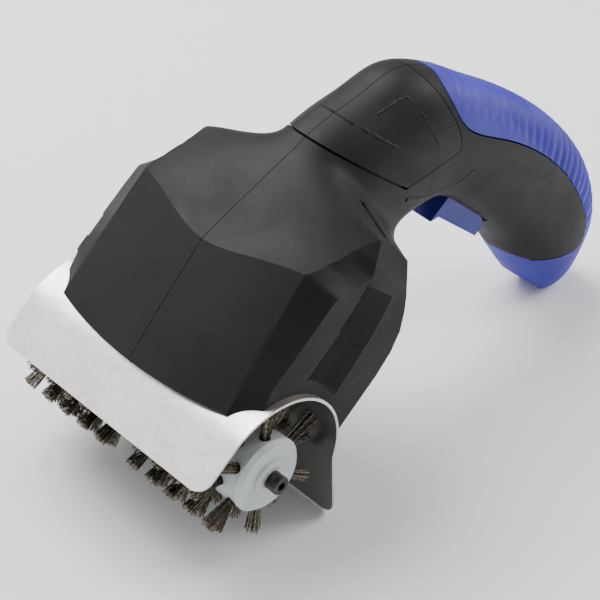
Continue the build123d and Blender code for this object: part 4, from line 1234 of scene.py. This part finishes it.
def stretched(tree, value, low, high):
    """A node that stretches the values from low to high out to 0 to 1."""
    node = add(tree, "ShaderNodeMapRange", {"From Min": low, "From Max": high})
    tree.links.new(value, node.inputs["Value"])
    return node


def maths(tree, operation, first, second):
    """Two values put together by one operation."""
    node = add(tree, "ShaderNodeMath", operation=operation)
    tree.links.new(first, node.inputs[0])
    tree.links.new(second, node.inputs[1])
    return node.outputs["Value"]


FLOAT, COLOUR = "NodeSocketFloat", "NodeSocketColor"
print("group helpers ready")

# %% Moulded grain
grain_inputs = [("Grain Size", FLOAT, 0.4)]
grain, given, result = new_group("moulded_grain", grain_inputs, [("Height", FLOAT)])
fine = clouds(grain, given.outputs["Grain Size"], Detail=3.0, Roughness=0.6)
grain.links.new(fine, result.inputs["Height"])
print("grain group", len(grain.nodes), "nodes")

# %% Smudges
smudge_inputs = [("Patch Size", FLOAT, 14.0), ("Least", FLOAT, 0.35), ("Most", FLOAT, 0.5)]
smudges, given, result = new_group("smudges", smudge_inputs, [("Value", FLOAT)])
cloud = clouds(smudges, given.outputs["Patch Size"], Detail=6.0, Roughness=0.65, Distortion=0.4)
spread = stretched(smudges, cloud, 0.35, 0.65)
smudges.links.new(given.outputs["Least"], spread.inputs["To Min"])
smudges.links.new(given.outputs["Most"], spread.inputs["To Max"])
smudges.links.new(spread.outputs["Result"], result.inputs["Value"])
print("smudge group", len(smudges.nodes), "nodes")

# %% Colour drift
WHITE, BLACK = (1, 1, 1, 1), (0, 0, 0, 1)
drift_inputs = [("Light", COLOUR, WHITE), ("Dark", COLOUR, BLACK), ("Patch Size", FLOAT, 20.0)]
drift, given, result = new_group("colour_drift", drift_inputs, [("Color", COLOUR)])
cloud = clouds(drift, given.outputs["Patch Size"], Detail=4.0, Roughness=0.55)
blend = add(drift, "ShaderNodeMix", data_type="RGBA")
drift.links.new(stretched(drift, cloud, 0.3, 0.7).outputs["Result"], blend.inputs["Factor"])
drift.links.new(given.outputs["Dark"], blend.inputs["A"])
drift.links.new(given.outputs["Light"], blend.inputs["B"])
drift.links.new(blend.outputs["Result"], result.inputs["Color"])
print("drift group", len(drift.nodes), "nodes")

# %% Worn edges
wear, given, result = new_group("worn_edges", [("Amount", FLOAT, 0.5)], [("Mask", FLOAT)])
shape = add(wear, "ShaderNodeNewGeometry")
ridge = stretched(wear, shape.outputs["Pointiness"], 0.52, 0.62).outputs["Result"]
patches = clouds(wear, Scale=0.35, Detail=6.0, Roughness=0.7)
broken = stretched(wear, patches, 0.42, 0.66).outputs["Result"]
rubbed_off = maths(wear, "MULTIPLY", ridge, broken)
amount = maths(wear, "MULTIPLY", rubbed_off, given.outputs["Amount"])
wear.links.new(amount, result.inputs["Mask"])
print("wear group", len(wear.nodes), "nodes")

# %% Painted shade on the side that faces the roller
# Painted shade: a mask that is 1 on faces turned towards the roller's axis, where a darker colour
# stands in for the shade inside the hood.
ROLLER_AXIS = tuple(roller_at)
FACING_CLEAR = 0.004
ACROSS_ONLY = (0.0, 1.0, 1.0)
painted_shade_inputs = [("Fade", FLOAT, FACING_CLEAR)]
painted_roller_shade, given, result = new_group("faces_the_roller", painted_shade_inputs, [("Mask", FLOAT)])
shape = add(painted_roller_shade, "ShaderNodeTexCoord")
arm = add(painted_roller_shade, "ShaderNodeVectorMath", {1: ROLLER_AXIS}, operation="SUBTRACT")
painted_roller_shade.links.new(shape.outputs["Object"], arm.inputs[0])
flat = add(painted_roller_shade, "ShaderNodeVectorMath", {1: ACROSS_ONLY}, operation="MULTIPLY")
painted_roller_shade.links.new(arm.outputs["Vector"], flat.inputs[0])
outwards = add(painted_roller_shade, "ShaderNodeVectorMath", operation="DOT_PRODUCT")
painted_roller_shade.links.new(flat.outputs["Vector"], outwards.inputs[0])
painted_roller_shade.links.new(shape.outputs["Normal"], outwards.inputs[1])
share = maths(painted_roller_shade, "DIVIDE", outwards.outputs["Value"], given.outputs["Fade"])
painted_shade_mask = stretched(painted_roller_shade, share, -1.0, -2.0)
painted_roller_shade.links.new(painted_shade_mask.outputs["Result"], result.inputs["Mask"])
print("facing group", len(painted_roller_shade.nodes), "nodes")

# %% Brushed lines
line_inputs = [("Line Width", FLOAT, 0.25), ("Line Length", FLOAT, 60.0)]
lines, given, result = new_group("brushed_lines", line_inputs, [("Height", FLOAT)])
across = one_over(lines, given.outputs["Line Width"])
stretch = add(lines, "ShaderNodeCombineXYZ")
lines.links.new(one_over(lines, given.outputs["Line Length"]), stretch.inputs["X"])
lines.links.new(across, stretch.inputs["Y"])
lines.links.new(across, stretch.inputs["Z"])
laid = add(lines, "ShaderNodeVectorMath", operation="MULTIPLY")
lines.links.new(in_millimetres(lines), laid.inputs[0])
lines.links.new(stretch.outputs["Vector"], laid.inputs[1])
streaks = add(lines, "ShaderNodeTexNoise", {"Scale": 1.0, "Detail": 5.0, "Roughness": 0.7})
lines.links.new(laid.outputs["Vector"], streaks.inputs["Vector"])
lines.links.new(streaks.outputs["Fac"], result.inputs["Height"])
print("brushed group", len(lines.nodes), "nodes")

# %% [markdown]
# Each finish is one material. Its colour drifts between two close tones and lightens on worn
# edges, its roughness changes in patches, and its bump comes from the grain or from brushed
# lines. What is the same all over, such as how metallic it is, is set on the shader itself.


# %% A finish from the shared groups
def place_group(tree, group, values):
    """A group node with its own values."""
    node = tree.nodes.new("ShaderNodeGroup")
    node.node_tree = group
    for key, value in values.items():
        node.inputs[key].default_value = value
    return node


def laid_over(tree, tone, colour, mask):
    """A colour laid over a tone where a mask is 1."""
    over = add(tree, "ShaderNodeMix", data_type="RGBA")
    over.inputs["B"].default_value = (*colour, 1)
    tree.links.new(mask, over.inputs["Factor"])
    tree.links.new(tone, over.inputs["A"])
    return over.outputs["Result"]


FEW_FROM = 0.55
BUMP_HEIGHT = 0.00008
SMUDGE_TO_PATCH = 0.8


def finish(name, light, dark, gloss, size=0.4, bite=0.2, patch=16.0, **more):
    """A material with drifting colour, patchy gloss and a fine bump.

    More can hold worn edges, brushed lines, painted shade that darkens the side facing the
    roller, a tone that each loose bit takes up by chance, and values of the shader itself.
    """
    paint = bpy.data.materials.new(name)
    paint.use_nodes = True
    tree = paint.node_tree
    shader = tree.nodes["Principled BSDF"]
    worn, brushed, inner, each = (more.pop(k, None) for k in ("worn", "brushed", "inner", "each"))
    for key, value in more.items():
        shader.inputs[key.replace("_", " ")].default_value = value
    tones = {"Light": (*light, 1), "Dark": (*dark, 1), "Patch Size": patch}
    tone = place_group(tree, drift, tones).outputs["Color"]
    if worn:
        mask = place_group(tree, wear, {"Amount": worn[1]})
        tone = laid_over(tree, tone, worn[0], mask.outputs["Mask"])
    if each:
        island = add(tree, "ShaderNodeNewGeometry")
        few = stretched(tree, island.outputs["Random Per Island"], FEW_FROM, 1.0)
        tone = laid_over(tree, tone, each, few.outputs["Result"])
    # Painted shade: faces turned towards the roller's axis take a darker tone.
    if inner:
        painted_shade_mask = place_group(tree, painted_roller_shade, {"Fade": FACING_CLEAR})
        tone = laid_over(tree, tone, inner, painted_shade_mask.outputs["Mask"])
    tree.links.new(tone, shader.inputs["Base Color"])
    patches = {"Patch Size": SMUDGE_TO_PATCH * patch, "Least": gloss[0], "Most": gloss[1]}
    dull = place_group(tree, smudges, patches)
    tree.links.new(dull.outputs["Value"], shader.inputs["Roughness"])
    if brushed:
        texture = place_group(tree, lines, {"Line Width": brushed[0], "Line Length": brushed[1]})
    else:
        texture = place_group(tree, grain, {"Grain Size": size})
    bump = add(tree, "ShaderNodeBump", {"Strength": bite, "Distance": BUMP_HEIGHT})
    tree.links.new(texture.outputs["Height"], bump.inputs["Height"])
    tree.links.new(bump.outputs["Normal"], shader.inputs["Normal"])
    return paint


print("finish helper ready")

# %% The plastics
finishes = {}
GREY_EDGE = (0.10, 0.10, 0.10)
finishes["black_plastic"] = finish(
    "satin_black_plastic", (0.0095, 0.0095, 0.0091), (0.006, 0.006, 0.0058), (0.50, 0.62),
    size=0.45, bite=0.35, worn=(GREY_EDGE, 0.06), patch=30.0, Specular_IOR_Level=0.22,
)
finishes["neck_plastic"] = finish(
    "satin_black_panel", (0.0090, 0.0090, 0.0086), (0.0058, 0.0058, 0.0056), (0.50, 0.62),
    size=0.4, bite=0.3, worn=(GREY_EDGE, 0.06), patch=24.0, Specular_IOR_Level=0.25,
)
finishes["plate_plastic"] = finish(
    "smooth_black_plate", (0.011, 0.011, 0.011), (0.007, 0.007, 0.007), (0.24, 0.36),
    size=0.3, bite=0.1, worn=(GREY_EDGE, 0.08), patch=12.0, Specular_IOR_Level=0.25,
)
finishes["blue_grip"] = finish(
    "soft_blue_rubber", (0.040, 0.034, 0.37), (0.026, 0.022, 0.28), (0.48, 0.62),
    size=0.3, bite=0.3, worn=((0.06, 0.065, 0.46), 0.3), patch=26.0, Specular_IOR_Level=0.35,
)
finishes["blue_trigger"] = finish(
    "smooth_blue_plastic", (0.016, 0.016, 0.26), (0.010, 0.010, 0.19), (0.36, 0.48),
    size=0.35, bite=0.15, worn=((0.05, 0.055, 0.40), 0.25), patch=10.0, Specular_IOR_Level=0.35,
)
finishes["case_plastic"] = finish(
    "dark_glass_filled_plastic", (0.035, 0.035, 0.036), (0.022, 0.022, 0.023), (0.42, 0.58),
    size=0.5, bite=0.4, worn=(GREY_EDGE, 0.3), patch=9.0,
)
finishes["roller_nylon"] = finish(
    "grey_white_nylon", (0.58, 0.62, 0.63), (0.49, 0.53, 0.54), (0.34, 0.48),
    size=0.6, bite=0.2, worn=((0.75, 0.77, 0.78), 0.4), patch=6.0, Subsurface_Weight=0.15,
    Subsurface_Radius=(0.002, 0.002, 0.002),
)
finishes["holder_plastic"] = finish(
    "natural_holder_plastic", (0.11, 0.11, 0.12), (0.08, 0.08, 0.085), (0.40, 0.55),
    patch=10.0,
)
finishes["switch_plastic"] = finish(
    "switch_plastic", (0.045, 0.045, 0.05), (0.03, 0.03, 0.034), (0.35, 0.5),
    size=0.3, patch=5.0,
)
finishes["belt_rubber"] = finish(
    "toothed_belt_rubber", (0.02, 0.02, 0.02), (0.012, 0.012, 0.012), (0.55, 0.7),
    size=0.3, bite=0.5, patch=4.0,
)
finishes["cell_wrap"] = finish(
    "shrunk_cell_wrap", (0.02, 0.28, 0.25), (0.015, 0.22, 0.20), (0.2, 0.32),
    size=0.8, bite=0.1, patch=12.0,
)
finishes["board_laminate"] = finish(
    "green_board_laminate", (0.02, 0.16, 0.06), (0.015, 0.12, 0.045), (0.25, 0.4),
    size=0.25, patch=4.0,
)
print(len(finishes), "plastics")

# %% The metals
# The hood's steel takes a darker tone on the side that faces the roller: painted shade for the
# hollow under the hood.
finishes["hood_steel"] = finish(
    "satin_hood_steel", (0.72, 0.67, 0.635), (0.60, 0.555, 0.525), (0.26, 0.38),
    bite=0.1, brushed=(0.3, 40.0), worn=((0.92, 0.91, 0.90), 0.5), patch=26.0,
    inner=(0.30, 0.295, 0.285), Metallic=1.0,
)
finishes["bristle_wire"] = finish(
    "crimped_steel_wire", (0.19, 0.165, 0.125), (0.014, 0.012, 0.009), (0.2, 0.42),
    size=0.8, patch=1.6, each=(0.66, 0.60, 0.50), Metallic=1.0,
)
finishes["black_screw"] = finish(
    "black_oxide_steel", (0.030, 0.030, 0.032), (0.016, 0.016, 0.018), (0.26, 0.42),
    size=0.25, worn=((0.2, 0.2, 0.2), 0.5), patch=3.0, Metallic=0.7,
)
finishes["zinc_screw"] = finish(
    "zinc_plated_steel", (0.66, 0.67, 0.68), (0.52, 0.53, 0.55), (0.25, 0.4),
    size=0.3, patch=3.0, Metallic=1.0,
)
finishes["motor_steel"] = finish(
    "drawn_motor_steel", (0.60, 0.60, 0.61), (0.48, 0.48, 0.50), (0.28, 0.4),
    brushed=(0.2, 20.0), patch=10.0, Metallic=1.0,
)
finishes["ground_steel"] = finish(
    "ground_shaft_steel", (0.70, 0.70, 0.70), (0.60, 0.60, 0.60), (0.15, 0.28),
    brushed=(0.1, 2.0), patch=6.0, Metallic=1.0,
)
finishes["pulley_metal"] = finish(
    "turned_pulley_metal", (0.72, 0.72, 0.72), (0.60, 0.60, 0.60), (0.25, 0.4),
    size=0.3, patch=4.0, Metallic=1.0,
)
finishes["socket_metal"] = finish(
    "plated_socket_metal", (0.72, 0.70, 0.66), (0.60, 0.58, 0.55), (0.2, 0.34),
    size=0.3, patch=3.0, Metallic=1.0,
)
print(len(finishes), "finishes")

# %% Put the finishes on
dressed = 0
for obj in bpy.data.objects:
    if obj.type == "MESH" and obj.name in nodes:
        slot = obj.material_slots[0]
        slot.material = finishes[slot.material.name]
        dressed += 1
for name, slot in NEW_PIECES.items():
    obj = bpy.data.objects[name]
    obj.data.materials.clear()
    obj.data.materials.append(finishes[slot])
    dressed += 1
print(dressed, "pieces have their finish")

# %% [markdown]
# The plain model has sharp edges where real ones are broken by a hair. A bevel modifier on each
# piece in a short list takes a little off them, so that they catch the light.

# %% Break the sharp edges
BREAKS = {
    "steel_hood": 0.25, "trigger": 0.7, "side_plate": 0.15, "roller_end_screws": 0.12,
    "roller_washers": 0.12, "arm_case_left": 0.25, "arm_case_right": 0.25, "charging_socket": 0.08,
    "hood_screws": 0.2, "housing_screws": 0.2, "driven_pulley": 0.15, "drive_pulley": 0.15,
}
BREAK_STEPS = 3
BREAK_ANGLE = 40
for name, width in BREAKS.items():
    bevel = nodes[name].modifiers.new("broken_edge", "BEVEL")
    bevel.width = width * MM
    bevel.segments = BREAK_STEPS
    bevel.limit_method = "ANGLE"
    bevel.angle_limit = math.radians(BREAK_ANGLE)
    bevel.harden_normals = True
print(len(BREAKS), "pieces have broken edges")

# %% [markdown]
# ## Light and floor
#
# The photograph is a plain studio picture: a white ground and big soft lights. A pale floor and
# three large area lights do the same, with a pale world for the fill. The floor touches the
# hood's rear lip and the flat foot of the drawn handle.

# %% Floor, lights and world
FLOOR_Z = 0.0025
FLOOR_HALF = 3
FLOOR_TONE = (0.94, 0.94, 0.94, 1)
FLOOR_ROUGHNESS = 0.9
SKY_STRENGTH = 0.5
floor_square = box_outline(-FLOOR_HALF, FLOOR_HALF, -FLOOR_HALF, FLOOR_HALF)
floor_corners = [(x, y, FLOOR_Z) for x, y in floor_square]
floor = make_mesh("floor", floor_corners, [(0, 1, 2, 3)])
floor_paint = bpy.data.materials.new("pale_floor")
floor_paint.use_nodes = True
floor_inputs = floor_paint.node_tree.nodes["Principled BSDF"].inputs
floor_inputs["Base Color"].default_value = FLOOR_TONE
floor_inputs["Roughness"].default_value = FLOOR_ROUGHNESS
floor.data.materials.append(floor_paint)


def soft_light(name, at, towards, size, watts):
    """A square soft light at a place, facing a point, in the model's metres."""
    lamp = bpy.data.lights.new(name, "AREA")
    lamp.energy = watts
    lamp.size = size
    obj = place(name, lamp)
    obj.location = at
    obj.rotation_euler = (Vector(towards) - Vector(at)).to_track_quat("-Z", "Y").to_euler()


soft_light("top_box", (-0.62, -0.12, 1.0), (0, 0, 0.06), 0.9, 22)
soft_light("front_box", (-0.75, -0.95, 0.62), (0, 0, 0.06), 0.9, 4)
soft_light("back_box", (0.35, 0.9, 0.8), (0, 0, 0.08), 0.6, 9)
world = bpy.data.worlds.new("studio")
bpy.context.scene.world = world
world.use_nodes = True
sky_inputs = world.node_tree.nodes["Background"].inputs
sky_inputs["Color"].default_value = WHITE
sky_inputs["Strength"].default_value = SKY_STRENGTH
print("lights on")
